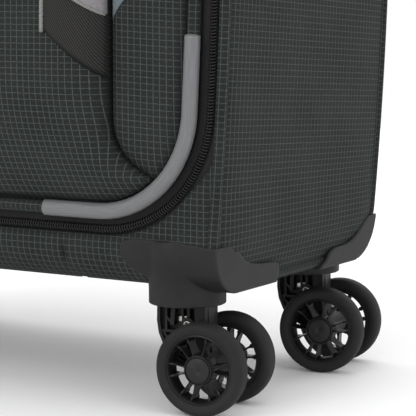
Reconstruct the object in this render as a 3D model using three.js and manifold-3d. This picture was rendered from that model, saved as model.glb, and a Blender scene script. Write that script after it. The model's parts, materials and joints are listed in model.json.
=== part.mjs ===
// A softside upright cabin suitcase: sewn body on boards, zipped front lid with two pockets,
// telescopic trolley, two pull-up carry handles and four swivelling twin-wheel casters.
// Millimetres. X runs to the right, Y from the front to the back, Z up. The wheels stand on Z = 0.
import * as THREE from "three";
import { mergeVertices } from "three/addons/utils/BufferGeometryUtils.js";
import Module from "manifold-3d";

const wasm = await Module();
wasm.setup();

// ---------- Driving dimensions ----------

// Body: a box with rolled lower and upper edges and slightly bowed sides.
const BODY_HALF_WIDTH = 184; // at the top and bottom edges
const BODY_BOW = 11; // how far each side stands out at mid height
const BODY_DEPTH = 184;
const BODY_BOTTOM = 67;
const BODY_TOP = 534;
const FRONT_ROLL = 20; // radius of the front bottom edge
const BACK_ROLL = 28; // radius of the back bottom edge
const TOP_ROLL = 14; // radius of both top edges
const BOARD = 3; // thickness of every fabric-covered board
const GAP = 0.3; // clearance between pieces that touch

// Main zipper: a loop on the front face. "Offset" is the distance from its coil, inwards.
const COIL_SIDE_INSET = 6.5; // from the side of the body
const COIL_RISE = 29; // from the bottom and the top of the body
const COIL_CORNER = 67; // corner radius
const COIL_HALF = 1.7;
const COIL_FRONT = -1.4;
const COIL_BACK = 2.2;

// Lid and what is sewn on it.
const LID_FRONT = -1;
const LID_BACK = 2;
const GUARD_OFFSET = 10;
const GUARD_WIDE = 8.6;
const GUARD_DEEP = 7.4;
const GUARD_LOW_TAIL = 36; // straight length past the corner, along the bottom
const GUARD_SIDE_TAIL = 34; // straight length past the corner, up the side
const POCKET_OFFSET = 15; // lid edge to pocket, measured from the coil
const SEAM_HALF_WIDTH = 126; // the lower pocket's upright side seams
const SEAM_TOE_DEGREES = -48; // where each side seam runs into the lid's corner
const SEAM_TURN_RISE = 44; // height over the pocket's bottom at which the seam starts to turn
const LOWER_POCKET_TOP = 344;
const LOWER_POCKET_PROUD = 16;
const UPPER_POCKET_BOTTOM = 362;
const UPPER_POCKET_TOP = 478;
const UPPER_POCKET_PROUD = 8;
const UPPER_POCKET_HALF_WIDTH = 150;
const UPPER_POCKET_CORNER = 12;

// Zip sliders and pullers.
const SLIDER_LONG = 13;
const SLIDER_WIDE = 9;
const SLIDER_THICK = 2.6;
const BRIDGE_RADIUS = 1;
const BRIDGE_RISE = 5.4; // slider's face to the bridge bar
const PULLER_BORE = 1.4;
const PULLER_EYE = 2.9;
const PULLER_EYE_LONG = 5;
const PULLER_WIDE = 9;
const PULLER_THICK = 1.8;
const PULLER_LONG = 25;
const MAIN_SLIDER_SPACING = 18;
const POCKET_SLIDER_RISE = 7; // over the top edge of its pocket
const POCKET_SLIDER_X = -104;
const POCKET_PULL_LONG = 30;

// Casters.
const CASTER_SIDE_INSET = 27; // swivel axis to the side of the body at the bottom
const CASTER_FRONT_INSET = 21.5;
const CASTER_BACK_INSET = 29.8;
const WHEEL_RADIUS = 25;
const WHEEL_WIDTH = 10.9;
const WHEEL_SPREAD = 18.2; // swivel axis to the middle of each wheel
const WHEEL_SIDES = 20;
const TRAIL = 17;
const HUB_OUTER = 18.4;
const HUB_THICK = 6;
const HUB_BOSS = 8.5;
const SPOKE_PAIRS = 6;
const SPOKE_PAIR_DEGREES = 22; // angle between the two spokes of a pair
const SPOKE_WIDTH = 2.3;
const AXLE_RADIUS = 3;
const FORK_DISC_RADIUS = 18;
const FORK_DISC_BOTTOM = 50.5;
const FORK_DISC_TOP = 62;
const FORK_HALF_LONG = 16;
const FORK_HALF_WIDE = 11.2;
const FORK_WALL = 3.2;
const PIN_RADIUS = 4;
const PIN_HEAD_RADIUS = 6.5;
const PIN_HEAD_THICK = 3.4;
const HOUSING_RADIUS = 20.8;
const HOUSING_BOTTOM = 56.4;
const HOUSING_TOP = 86;
const HOUSING_WALL = 2.4;
const HOUSING_CROWN = 5; // solid plastic over the swivel pin
const HOUSING_CREST = 25.4; // the skirts' highest edge, over the body's bottom
const FRONT_REST_DEGREES = [6, 3]; // trail direction at rest, right and left
const REAR_REST_DEGREES = [10, 7];

// Trolley.
const TUBE_HALF_SPACING = 82;
const TUBE_BACK_GAP = 1;
const OUTER_TUBE = [26, 16];
const TUBE_WALL = 1.5;
const TUBE_PLAY = 0.4; // each side, between one tube and the next
const FOOT_HALF_WIDTH = 112;
const FOOT_HEIGHT = 12;
const LINER_THICK = 2.4;
const LINER_HALF_WIDTH = 176;
const GRIP_HALF_WIDTH = 104;
const GRIP_DEEP = 22;
const GRIP_HEIGHT = 13;
const BEZEL_RISE = 7;
const BEZEL_FLOOR = 2.2;
const BEZEL_HALF_WIDTH = 122;
const BEZEL_FRONT = 152;
const BEZEL_BACK_PROUD = 2.4;
const BUTTON_HALF_WIDTH = 18;
const BUTTON_DEEP = 10;
const BUTTON_HEIGHT = 7;
const BUTTON_PROUD = 0.9;
const BUTTON_TRAVEL = 3.5;

// Carry handles, both the same, and the straps inside.
const HANDLE_HALF_SPAN = 76;
const HANDLE_HALF_CROWN = 50;
const HANDLE_WIDE = 22;
const HANDLE_THICK = 4.6;
const HANDLE_FOOT_RISE = 3.4; // board to the underside at the ends
const HANDLE_CROWN_RISE = 10.4; // board to the underside in the middle
const HANDLE_LEG = [4.4, 14];
const HANDLE_TRAVEL = 15;
const HANDLE_STOP_THICK = 3;
const HANDLE_STOP_EXTRA = 3;
const HANDLE_STOP_PLAY = 2.5; // between the stop and the board when the handle is out
const BRACKET_LONG = 26;
const BRACKET_WIDE = 30;
const BRACKET_HIGH = 2.8;
const TOP_HANDLE_Y = 76;
const SIDE_HANDLE_Y = 92;
const SIDE_HANDLE_RISE = 14; // its middle, over the middle of the side
const STRAP_WIDE = 24;
const STRAP_THICK = 1.5;
const BUCKLE_HALF = 23;
const BUCKLE_THICK = 5;

// ---------- Places worked out from them ----------

const middleZ = (BODY_BOTTOM + BODY_TOP) / 2;
const halfHeight = (BODY_TOP - BODY_BOTTOM) / 2;
const sideX = (z) => BODY_HALF_WIDTH + BODY_BOW * (1 - ((z - middleZ) / halfHeight) ** 2);
const casterX = BODY_HALF_WIDTH - CASTER_SIDE_INSET;
const frontCasterY = CASTER_FRONT_INSET;
const rearCasterY = BODY_DEPTH - CASTER_BACK_INSET;
const innerHalfWidth = BODY_HALF_WIDTH - BOARD - GAP;
const tubeY = BODY_DEPTH - BOARD - TUBE_BACK_GAP - OUTER_TUBE[1] / 2;
const linerBack = tubeY - OUTER_TUBE[1] / 2 - GAP;
const linerFront = linerBack - LINER_THICK;
const footBottom = BODY_BOTTOM + BACK_ROLL + 2;
const footTop = footBottom + FOOT_HEIGHT;
const outerTubeTop = BODY_TOP - BOARD - TOP_ROLL / 2 - 2;
const bezelTop = BODY_TOP + GAP + BEZEL_RISE;
const bezelFloor = BODY_TOP + GAP + BEZEL_FLOOR;
const gripBottom = bezelFloor + GAP;
const gripTop = gripBottom + GRIP_HEIGHT;
const coilTop = BODY_TOP - COIL_RISE;
const sideHandleZ = middleZ + SIDE_HANDLE_RISE;

// ---------- Solids ----------

const CORNER_STEPS = 7;
const SIDE_STEPS = 6;
const ROUND = 20;
const REACH = 400; // past every outer face, for cutting blocks

function solid(geometry) {
  const bare = geometry.clone();
  bare.deleteAttribute("normal");
  bare.deleteAttribute("uv");
  const merged = mergeVertices(bare, 1e-4);
  return new wasm.Manifold(
    new wasm.Mesh({
      numProp: 3,
      vertProperties: new Float32Array(merged.attributes.position.array),
      triVerts: new Uint32Array(merged.index.array),
    }),
  );
}

function geometryOf(made) {
  const mesh = made.getMesh();
  const geometry = new THREE.BufferGeometry();
  geometry.setAttribute("position", new THREE.BufferAttribute(mesh.vertProperties, 3));
  geometry.setIndex(new THREE.BufferAttribute(mesh.triVerts, 1));
  geometry.computeVertexNormals();
  return geometry;
}

const union = (...pieces) => pieces.reduce((a, b) => a.add(b));
const cut = (from, ...pieces) => pieces.reduce((a, b) => a.subtract(b), from);

function block(x, y, z) {
  const geometry = new THREE.BoxGeometry(x[1] - x[0], y[1] - y[0], z[1] - z[0]);
  geometry.translate((x[0] + x[1]) / 2, (y[0] + y[1]) / 2, (z[0] + z[1]) / 2);
  return solid(geometry);
}

// A round bar from one end to the other along X, Y or Z, through the point given.
function bar(axis, radius, from, to, at, sides = ROUND) {
  const geometry = new THREE.CylinderGeometry(radius, radius, to - from, sides);
  geometry.translate(0, (from + to) / 2, 0);
  if (axis === "x") geometry.rotateZ(-Math.PI / 2);
  if (axis === "z") geometry.rotateX(Math.PI / 2);
  geometry.translate(...at);
  return solid(geometry);
}

function extruded(shape, length, basis, start, options = {}) {
  const geometry = new THREE.ExtrudeGeometry(shape, {
    depth: length,
    bevelEnabled: false,
    curveSegments: CORNER_STEPS,
    ...options,
  });
  geometry.translate(0, 0, start);
  geometry.applyMatrix4(basis);
  return solid(geometry);
}

// Outline in (x, z), run along Y.
const alongY = (shape, from, to, options) =>
  extruded(shape, to - from, new THREE.Matrix4().makeRotationX(Math.PI / 2), -to, options);

// Outline in (y, z), run along X.
const alongX = (shape, from, to) =>
  extruded(
    shape,
    to - from,
    new THREE.Matrix4().makeBasis(
      new THREE.Vector3(0, 1, 0),
      new THREE.Vector3(0, 0, 1),
      new THREE.Vector3(1, 0, 0),
    ),
    from,
  );

function arcPoints(cx, cz, radius, fromDegrees, toDegrees, steps = CORNER_STEPS) {
  return Array.from({ length: steps + 1 }, (_, i) => {
    const a = THREE.MathUtils.degToRad(fromDegrees + ((toDegrees - fromDegrees) * i) / steps);
    return new THREE.Vector2(cx + radius * Math.cos(a), cz + radius * Math.sin(a));
  });
}

// The body's side outline in (y, z), grown outwards.
function bodyProfile(grow) {
  const front = FRONT_ROLL + grow;
  const back = BACK_ROLL + grow;
  const top = TOP_ROLL + grow;
  const low = BODY_BOTTOM - grow;
  const high = BODY_TOP + grow;
  const near = -grow;
  const far = BODY_DEPTH + grow;
  return new THREE.Shape([
    ...arcPoints(near + front, low + front, front, 180, 270),
    ...arcPoints(far - back, low + back, back, 270, 360),
    ...arcPoints(far - top, high - top, top, 0, 90),
    ...arcPoints(near + top, high - top, top, 90, 180),
  ]);
}

// A loop in (x, z) that follows the bowed sides at an inset, anticlockwise from the bottom left.
function bowedLoop(inset, low, high, radius) {
  const rightLow = sideX(low + radius) - inset;
  const rightHigh = sideX(high - radius) - inset;
  const corner = (x, z, from) =>
    radius > 0 ? arcPoints(x, z, radius, from, from + 90) : [new THREE.Vector2(x, z)];
  const up = [];
  for (let i = 1; i < SIDE_STEPS; i++) {
    const z = low + radius + ((high - low - 2 * radius) * i) / SIDE_STEPS;
    up.push(new THREE.Vector2(sideX(z) - inset, z));
  }
  const right = [
    ...corner(rightLow - radius, low + radius, 270),
    ...up,
    ...corner(rightHigh - radius, high - radius, 0),
  ];
  const left = right.map((p) => new THREE.Vector2(-p.x, p.y)).reverse();
  return [...right, ...left];
}

// The zipper's loop, moved inwards by an offset.
const coilLoop = (offset) =>
  bowedLoop(
    COIL_SIDE_INSET + offset,
    BODY_BOTTOM + COIL_RISE + offset,
    BODY_TOP - COIL_RISE - offset,
    COIL_CORNER - offset,
  );

function coilCorner(offset) {
  const radius = COIL_CORNER - offset;
  const low = BODY_BOTTOM + COIL_RISE + offset;
  const x = sideX(low + radius) - COIL_SIDE_INSET - offset - radius;
  return { x, z: low + radius, radius, low };
}

// ---------- The scene graph ----------

const suitcase = new THREE.Group();

const fabric = { color: 0x24292a, roughness: 0.9, metalness: 0 };
const lining = { color: 0x3a3d40, roughness: 0.85, metalness: 0 };
const plastic = { color: 0x2b2c2e, roughness: 0.55, metalness: 0 };
const guardGrey = { color: 0x77797c, roughness: 0.42, metalness: 0.1 };
const steel = { color: 0x9a9b9e, roughness: 0.35, metalness: 0.9 };
const aluminium = { color: 0xa9abae, roughness: 0.38, metalness: 0.8 };
const wheelBlack = { color: 0x1f2022, roughness: 0.6, metalness: 0 };

function add(name, made, look, parent = suitcase) {
  const mesh = new THREE.Mesh(geometryOf(made), new THREE.MeshStandardMaterial(look));
  mesh.name = name;
  parent.add(mesh);
  return mesh;
}

// A second copy of a piece on the other side of the body.
function addMirrored(name, made, look) {
  add(name, made, look).scale.x = -1;
}

// ---------- Body boards ----------

const wheelWell = (x, y) =>
  bar("z", HOUSING_RADIUS + GAP, BODY_BOTTOM - REACH, HOUSING_TOP + GAP, [x, y, 0], 24);

// Where a handle's leg passes through a board: its extent along the handle, then across it.
function legSlot(along, across) {
  const half = [HANDLE_LEG[0] / 2 + GAP, HANDLE_LEG[1] / 2 + GAP];
  return [
    [along - half[0], along + half[0]],
    [across - half[1], across + half[1]],
  ];
}

const skin = cut(
  alongX(bodyProfile(0), -innerHalfWidth, innerHalfWidth),
  alongX(bodyProfile(-BOARD), -REACH, REACH),
);

function buildBottomPanel() {
  const centre = BODY_DEPTH / 2;
  const keep = union(
    block([-REACH, REACH], [-REACH, centre], [0, BODY_BOTTOM + FRONT_ROLL]),
    block([-REACH, REACH], [centre, REACH], [0, BODY_BOTTOM + BACK_ROLL]),
  );
  const wells = [-1, 1].flatMap((side) => [
    wheelWell(side * casterX, frontCasterY),
    wheelWell(side * casterX, rearCasterY),
  ]);
  add("bottom_panel", cut(skin.intersect(keep), ...wells), fabric);
}

function tubePassage(side, play, low, high) {
  const half = [OUTER_TUBE[0] / 2 - TUBE_WALL + play, OUTER_TUBE[1] / 2 - TUBE_WALL + play];
  const x = side * TUBE_HALF_SPACING;
  return block([x - half[0], x + half[0]], [tubeY - half[1], tubeY + half[1]], [low, high]);
}

function buildTopPanel() {
  const keep = block([-REACH, REACH], [-REACH, REACH], [BODY_TOP - TOP_ROLL, REACH * 2]);
  const openings = [-1, 1].flatMap((side) => {
    const [x, y] = legSlot(side * HANDLE_HALF_SPAN, TOP_HANDLE_Y);
    return [
      block(x, y, [BODY_TOP - REACH, BODY_TOP + REACH]),
      tubePassage(side, 0, BODY_TOP - REACH, BODY_TOP + REACH),
    ];
  });
  add("top_panel", cut(skin.intersect(keep), ...openings), fabric);
}

function buildSidePanels() {
  const steps = 2 * SIDE_STEPS;
  const heights = Array.from(
    { length: steps + 1 },
    (_, i) => BODY_BOTTOM + ((BODY_TOP - BODY_BOTTOM) * i) / steps,
  );
  const strip = new THREE.Shape([
    ...heights.map((z) => new THREE.Vector2(sideX(z), z)),
    ...heights.map((z) => new THREE.Vector2(sideX(z) - BOARD, z)).reverse(),
  ]);
  const panel = alongY(strip, BOARD + GAP, BODY_DEPTH).intersect(
    alongX(bodyProfile(0), 0, REACH),
  );
  addMirrored("left_side_panel", panel, fabric);
  const slots = [-1, 1].map((side) => {
    const [z, y] = legSlot(sideHandleZ + side * HANDLE_HALF_SPAN, SIDE_HANDLE_Y);
    return block([0, REACH], y, z);
  });
  add("right_side_panel", cut(panel, ...slots), fabric);
}

function buildBackPanel() {
  const loop = bowedLoop(
    BOARD + GAP,
    BODY_BOTTOM + BACK_ROLL + GAP,
    BODY_TOP - TOP_ROLL - GAP,
    0,
  );
  add("back_panel", alongY(new THREE.Shape(loop), BODY_DEPTH - BOARD, BODY_DEPTH), fabric);
}

// The rim around the lid. On the left it reaches to the lid as the sewn fabric hinge.
function buildFrontRim() {
  const outer = new THREE.Shape(
    bowedLoop(0, BODY_BOTTOM + FRONT_ROLL + GAP, BODY_TOP - TOP_ROLL - GAP, 0),
  );
  const opening = new THREE.Shape(coilLoop(-COIL_HALF - GAP));
  const ring = cut(alongY(outer, 0, BOARD), alongY(opening, -REACH, REACH));
  const corner = coilCorner(0);
  const hinge = cut(
    alongY(new THREE.Shape(coilLoop(-COIL_HALF - 1)), 0, BOARD),
    alongY(new THREE.Shape(coilLoop(COIL_HALF)), -REACH, REACH),
  ).intersect(
    block(
      [-REACH, -BODY_HALF_WIDTH / 2],
      [-REACH, REACH],
      [corner.z + GAP, 2 * middleZ - corner.z - GAP],
    ),
  );
  add("front_rim", union(ring, hinge), fabric);
}

function buildMainZipper() {
  const corner = coilCorner(0);
  const ring = cut(
    alongY(new THREE.Shape(coilLoop(-COIL_HALF)), COIL_FRONT, COIL_BACK),
    alongY(new THREE.Shape(coilLoop(COIL_HALF)), -REACH, REACH),
    block(
      [-REACH, -BODY_HALF_WIDTH / 2],
      [-REACH, REACH],
      [corner.z, 2 * middleZ - corner.z],
    ),
  );
  add("main_zipper_coil", ring, { color: 0x151617, roughness: 0.5, metalness: 0 });
}

// ---------- Lid ----------

function buildLid() {
  const plate = new THREE.Shape(coilLoop(COIL_HALF + GAP));
  add("lid_panel", alongY(plate, LID_FRONT, LID_BACK), fabric);

  const corner = coilCorner(GUARD_OFFSET);
  const y = LID_FRONT - GAP - GUARD_DEEP / 2;
  const inset = COIL_SIDE_INSET + GUARD_OFFSET;
  const route = [
    new THREE.Vector2(corner.x - GUARD_LOW_TAIL, corner.low),
    new THREE.Vector2(corner.x - GUARD_LOW_TAIL / 2, corner.low),
    ...arcPoints(corner.x, corner.z, corner.radius, 270, 360),
    ...[0.5, 1].map((share) => {
      const z = corner.z + share * GUARD_SIDE_TAIL;
      return new THREE.Vector2(sideX(z) - inset, z);
    }),
  ].map((p) => new THREE.Vector3(p.x, y, p.y));
  const section = new THREE.Shape(
    Array.from({ length: 10 }, (_, i) => {
      const a = (2 * Math.PI * (i + 0.5)) / 10;
      return new THREE.Vector2((GUARD_WIDE / 2) * Math.cos(a), (GUARD_DEEP / 2) * Math.sin(a));
    }),
  );
  const guard = solid(
    new THREE.ExtrudeGeometry(section, {
      steps: 14,
      extrudePath: new THREE.CatmullRomCurve3(route, false, "centripetal"),
    }),
  );
  add("lid_guard_right", guard, guardGrey);
  addMirrored("lid_guard_left", guard, guardGrey);
}

// A pocket swells from its seam on the lid to its full depth in rings of the same outline,
// each drawn in towards the middle of the pocket.
function swollen(outline, proud) {
  const box = new THREE.Box2().setFromPoints(outline);
  const middle = box.getCenter(new THREE.Vector2());
  const half = box.getSize(new THREE.Vector2()).multiplyScalar(0.5);
  const rings = [0, 30, 60, 90].map((degrees) => {
    const a = THREE.MathUtils.degToRad(degrees);
    const inset = 1.4 * proud * (1 - Math.cos(a));
    const y = LID_FRONT - GAP - (proud - GAP) * Math.sin(a);
    return outline.map(
      (p) =>
        new THREE.Vector3(
          middle.x + (p.x - middle.x) * (1 - inset / half.x),
          y,
          middle.y + (p.y - middle.y) * (1 - inset / half.y),
        ),
    );
  });
  const count = outline.length;
  const positions = rings.flat().flatMap((p) => p.toArray());
  const index = [];
  for (let ring = 0; ring + 1 < rings.length; ring++) {
    for (let i = 0; i < count; i++) {
      const [a, b] = [ring * count + i, ring * count + ((i + 1) % count)];
      index.push(a, b, b + count, a, b + count, a + count);
    }
  }
  const last = (rings.length - 1) * count;
  for (const [a, b, c] of THREE.ShapeUtils.triangulateShape(outline, [])) {
    index.push(a, c, b, last + a, last + b, last + c);
  }
  const geometry = new THREE.BufferGeometry();
  geometry.setAttribute("position", new THREE.Float32BufferAttribute(positions, 3));
  geometry.setIndex(index);
  return solid(geometry);
}

function buildPockets() {
  const corner = coilCorner(POCKET_OFFSET);
  const toe = arcPoints(corner.x, corner.z, corner.radius, 270, 360 + SEAM_TOE_DEGREES, 4);
  const end = toe[toe.length - 1];
  const turnZ = corner.low + SEAM_TURN_RISE;
  const bend = new THREE.QuadraticBezierCurve(
    end,
    new THREE.Vector2(SEAM_HALF_WIDTH, end.y + (turnZ - end.y) / 3),
    new THREE.Vector2(SEAM_HALF_WIDTH, turnZ),
  ).getPoints(4);
  const right = [
    ...toe,
    ...bend.slice(1),
    new THREE.Vector2(SEAM_HALF_WIDTH, LOWER_POCKET_TOP),
  ];
  const left = right.map((p) => new THREE.Vector2(-p.x, p.y)).reverse();
  add("lower_pocket", swollen([...right, ...left], LOWER_POCKET_PROUD), fabric);

  const half = UPPER_POCKET_HALF_WIDTH - UPPER_POCKET_CORNER;
  const high = UPPER_POCKET_TOP - UPPER_POCKET_CORNER;
  const low = UPPER_POCKET_BOTTOM + UPPER_POCKET_CORNER;
  const upper = [
    ...arcPoints(half, low, UPPER_POCKET_CORNER, 270, 360, 3),
    ...arcPoints(half, high, UPPER_POCKET_CORNER, 0, 90, 3),
    ...arcPoints(-half, high, UPPER_POCKET_CORNER, 90, 180, 3),
    ...arcPoints(-half, low, UPPER_POCKET_CORNER, 180, 270, 3),
  ];
  add("upper_pocket", swollen(upper, UPPER_POCKET_PROUD), fabric);
}

// ---------- Zip sliders ----------

// A slider's body with two posts and a bridge bar along the zipper, its back face at the height given.
function sliderBody(x, z, back) {
  const face = back - SLIDER_THICK;
  const barY = face - BRIDGE_RISE;
  const post = (side) =>
    block(
      [x + side * (SLIDER_LONG / 2 - 1.5) - 1, x + side * (SLIDER_LONG / 2 - 1.5) + 1],
      [barY - BRIDGE_RADIUS, face + 1],
      [z - BRIDGE_RADIUS, z + BRIDGE_RADIUS],
    );
  return union(
    block(
      [x - SLIDER_LONG / 2, x + SLIDER_LONG / 2],
      [face, back],
      [z - SLIDER_WIDE / 2, z + SLIDER_WIDE / 2],
    ),
    post(-1),
    post(1),
    bar("x", BRIDGE_RADIUS, -SLIDER_LONG / 2 + 1, SLIDER_LONG / 2 - 1, [x, barY, z], 8),
  );
}

function buildMainSliders() {
  const back = COIL_FRONT - GAP;
  const barY = back - SLIDER_THICK - BRIDGE_RISE;
  for (const [side, name] of [
    [-1, "left"],
    [1, "right"],
  ]) {
    const x = (side * MAIN_SLIDER_SPACING) / 2;
    add("main_slider_" + name, sliderBody(x, coilTop, back), steel);
    const eye = [x, barY, coilTop];
    const half = PULLER_EYE_LONG / 2;
    const tag = block(
      [x - PULLER_WIDE / 2, x + PULLER_WIDE / 2],
      [barY - PULLER_THICK / 2, barY + PULLER_THICK / 2],
      [coilTop - PULLER_LONG, coilTop - PULLER_EYE],
    );
    const neck = block(
      [x - half, x + half],
      [barY - PULLER_THICK / 2, barY + PULLER_THICK / 2],
      [coilTop - PULLER_EYE - 1, coilTop],
    );
    const puller = cut(
      union(bar("x", PULLER_EYE, -half, half, eye, 12), neck, tag),
      bar("x", PULLER_BORE, -half - 1, half + 1, eye, 12),
    );
    add("main_puller_" + name, puller, plastic);
  }
}

// A pocket's slider, with its cord pull lying along the zipper.
function buildPocketSliders() {
  for (const [name, pocketTop] of [
    ["lower_pocket_slider", LOWER_POCKET_TOP],
    ["upper_pocket_slider", UPPER_POCKET_TOP],
  ]) {
    const z = pocketTop + POCKET_SLIDER_RISE;
    const back = LID_FRONT - GAP;
    const x = POCKET_SLIDER_X;
    const pull = block(
      [x - SLIDER_LONG / 2 - POCKET_PULL_LONG, x],
      [back - SLIDER_THICK - 2.2, back - SLIDER_THICK + 0.2],
      [z - 2.4, z + 2.4],
    );
    const body = block(
      [x - SLIDER_LONG / 2, x + SLIDER_LONG / 2],
      [back - SLIDER_THICK, back],
      [z - SLIDER_WIDE / 2, z + SLIDER_WIDE / 2],
    );
    add(name, union(body, pull), plastic);
  }
}

// ---------- Wheel housings and casters ----------

// A moulded corner: a shell over the body's bottom corner, cut to its outline, and the swivel cup.
function cornerHousing(casterY, sideMask, faceMask) {
  const outside = sideX(BODY_BOTTOM + HOUSING_CREST);
  const shell = cut(
    alongX(bodyProfile(GAP + HOUSING_WALL), 0, outside + GAP + HOUSING_WALL),
    alongX(bodyProfile(GAP), -REACH, outside + GAP),
  );
  const cup = bar("z", HOUSING_RADIUS, HOUSING_BOTTOM, HOUSING_TOP, [casterX, casterY, 0], 24);
  const skirt = shell
    .intersect(alongX(sideMask, -REACH, REACH))
    .intersect(alongY(faceMask, -REACH, REACH));
  return cut(
    union(skirt, cup),
    bar("z", FORK_DISC_RADIUS + 0.5, 0, FORK_DISC_TOP + 0.5, [casterX, casterY, 0]),
    bar("z", PIN_RADIUS + GAP, 0, HOUSING_TOP - HOUSING_CROWN, [casterX, casterY, 0], 12),
  );
}

// The housing's outline on the front or back face, in (x, z).
function faceMask() {
  return new THREE.Shape([
    new THREE.Vector2(casterX - 10, 0),
    new THREE.Vector2(REACH, 0),
    new THREE.Vector2(REACH, BODY_BOTTOM + HOUSING_CREST - 2),
    new THREE.Vector2(casterX + 4, BODY_BOTTOM + HOUSING_CREST),
    new THREE.Vector2(casterX - 20, BODY_BOTTOM + HOUSING_CREST),
    new THREE.Vector2(casterX - 27, BODY_BOTTOM + 21),
    new THREE.Vector2(casterX - 27, BODY_BOTTOM + 15.6),
    new THREE.Vector2(casterX - 20, BODY_BOTTOM + 7),
    new THREE.Vector2(casterX - 10, BODY_BOTTOM + 3.3),
  ]);
}

// The housings' outlines on the side, in (y, z), measured from the swivel axis.
function sideMask(casterY, points) {
  return new THREE.Shape(
    points.map(([y, rise]) => new THREE.Vector2(casterY + y, BODY_BOTTOM + rise)),
  );
}

function buildHousings() {
  const front = sideMask(frontCasterY, [
    [-REACH, -9],
    [38, -9],
    [42.5, 0],
    [43.8, 4.5],
    [41.5, 7.6],
    [36, 9],
    [12, 11.5],
    [5, 15],
    [-1, 20],
    [-8, 22.5],
    [-FRONT_ROLL, HOUSING_CREST],
    [-REACH, HOUSING_CREST],
  ]);
  const rear = sideMask(rearCasterY, [
    [REACH, -9],
    [-42, -9],
    [-38, -1],
    [-31, 2],
    [-28, 5.8],
    [-20, 7.8],
    [-3, 9.2],
    [7, 13],
    [20, 21],
    [REACH, HOUSING_CREST - 3],
  ]);
  const frontHousing = cornerHousing(frontCasterY, front, faceMask());
  const rearHousing = cornerHousing(rearCasterY, rear, faceMask());
  add("front_right_wheel_housing", frontHousing, plastic);
  addMirrored("front_left_wheel_housing", frontHousing, plastic);
  add("rear_right_wheel_housing", rearHousing, plastic);
  addMirrored("rear_left_wheel_housing", rearHousing, plastic);
}

// The fork in its own frame: X along the trail, Y along the axle, swivel axis at the origin.
function forkSolid() {
  const joinZ = FORK_DISC_BOTTOM + 3.5;
  const side = new THREE.Shape([
    new THREE.Vector2(-FORK_HALF_LONG, joinZ),
    new THREE.Vector2(-FORK_HALF_LONG, joinZ - 7),
    ...new THREE.QuadraticBezierCurve(
      new THREE.Vector2(-FORK_HALF_LONG, joinZ - 7),
      new THREE.Vector2(-FORK_HALF_LONG + 4, WHEEL_RADIUS + 3),
      new THREE.Vector2(TRAIL - 5, WHEEL_RADIUS - 5),
    )
      .getPoints(4)
      .slice(1),
    ...arcPoints(TRAIL, WHEEL_RADIUS, 7, 235, 380, 5),
    new THREE.Vector2(FORK_HALF_LONG + 2, joinZ - 8),
    new THREE.Vector2(FORK_HALF_LONG, joinZ),
  ]);
  // Room between the cheeks for the pin's head, open below and behind.
  const inside = new THREE.Shape([
    new THREE.Vector2(-FORK_HALF_LONG + FORK_WALL, FORK_DISC_BOTTOM),
    new THREE.Vector2(-FORK_HALF_LONG + FORK_WALL, joinZ - 9),
    new THREE.Vector2(-FORK_HALF_LONG / 2 + 2, WHEEL_RADIUS + 11),
    new THREE.Vector2(TRAIL - 8, WHEEL_RADIUS + 2),
    new THREE.Vector2(TRAIL - 2, 0),
    new THREE.Vector2(REACH, 0),
    new THREE.Vector2(REACH, FORK_DISC_BOTTOM),
  ]);
  const axle = [TRAIL, 0, WHEEL_RADIUS];
  const cheeks = cut(
    alongY(side, -FORK_HALF_WIDE, FORK_HALF_WIDE),
    alongY(inside, -FORK_HALF_WIDE + FORK_WALL, FORK_HALF_WIDE - FORK_WALL),
  );
  const disc = bar("z", FORK_DISC_RADIUS, FORK_DISC_BOTTOM, FORK_DISC_TOP, [0, 0, 0], 24);
  return cut(
    union(cheeks, disc),
    bar("y", AXLE_RADIUS + GAP, -REACH, REACH, axle, 12),
    bar("z", PIN_RADIUS + GAP, 0, REACH, [0, 0, 0], 12),
  );
}

// One wheel about the Y axis at the origin, cap side towards +Y.
function wheelSolid() {
  const flats = 1 / Math.cos(Math.PI / WHEEL_SIDES); // keeps the flats, not the edges, at the radius
  const half = WHEEL_WIDTH / 2;
  const inner = HUB_OUTER + 0.6;
  const tread = [
    [inner, -half + 0.9],
    [WHEEL_RADIUS - 2.6, -half],
    [WHEEL_RADIUS, -half + 2.6],
    [WHEEL_RADIUS, half - 2.6],
    [WHEEL_RADIUS - 2.6, half],
    [inner, half - 0.9],
    [inner, -half + 0.9],
  ].map(([r, y]) => new THREE.Vector2(r * flats, y));
  const tyre = solid(new THREE.LatheGeometry(tread, WHEEL_SIDES, Math.PI / WHEEL_SIDES));
  const web = bar("y", inner + 1.5, -HUB_THICK / 2, HUB_THICK / 2, [0, 0, 0]);
  const windowIn = HUB_BOSS + 0.8;
  const windowOut = HUB_OUTER - 0.8;
  const openings = [];
  const pitch = 360 / SPOKE_PAIRS;
  for (let pair = 0; pair < SPOKE_PAIRS; pair++) {
    for (const [centre, span] of [
      [pair * pitch, SPOKE_PAIR_DEGREES],
      [(pair + 0.5) * pitch, pitch - SPOKE_PAIR_DEGREES],
    ]) {
      const corner = (radius, side) => {
        const half = THREE.MathUtils.degToRad(span / 2) - SPOKE_WIDTH / 2 / radius;
        const a = THREE.MathUtils.degToRad(centre) + side * half;
        return new THREE.Vector2(radius * Math.cos(a), radius * Math.sin(a));
      };
      const window = new THREE.Shape([
        corner(windowIn, -1),
        corner(windowOut, -1),
        corner(windowOut, 1),
        corner(windowIn, 1),
      ]);
      openings.push(alongY(window, -REACH, REACH));
    }
  }
  const boss = bar("y", HUB_BOSS, -half - 0.1, half - 0.2, [0, 0, 0], 16);
  const bore = bar("y", AXLE_RADIUS + GAP, -REACH, half - 1.6, [0, 0, 0], 12);
  return cut(union(cut(union(web, tyre), ...openings), boss), bore);
}

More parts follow.
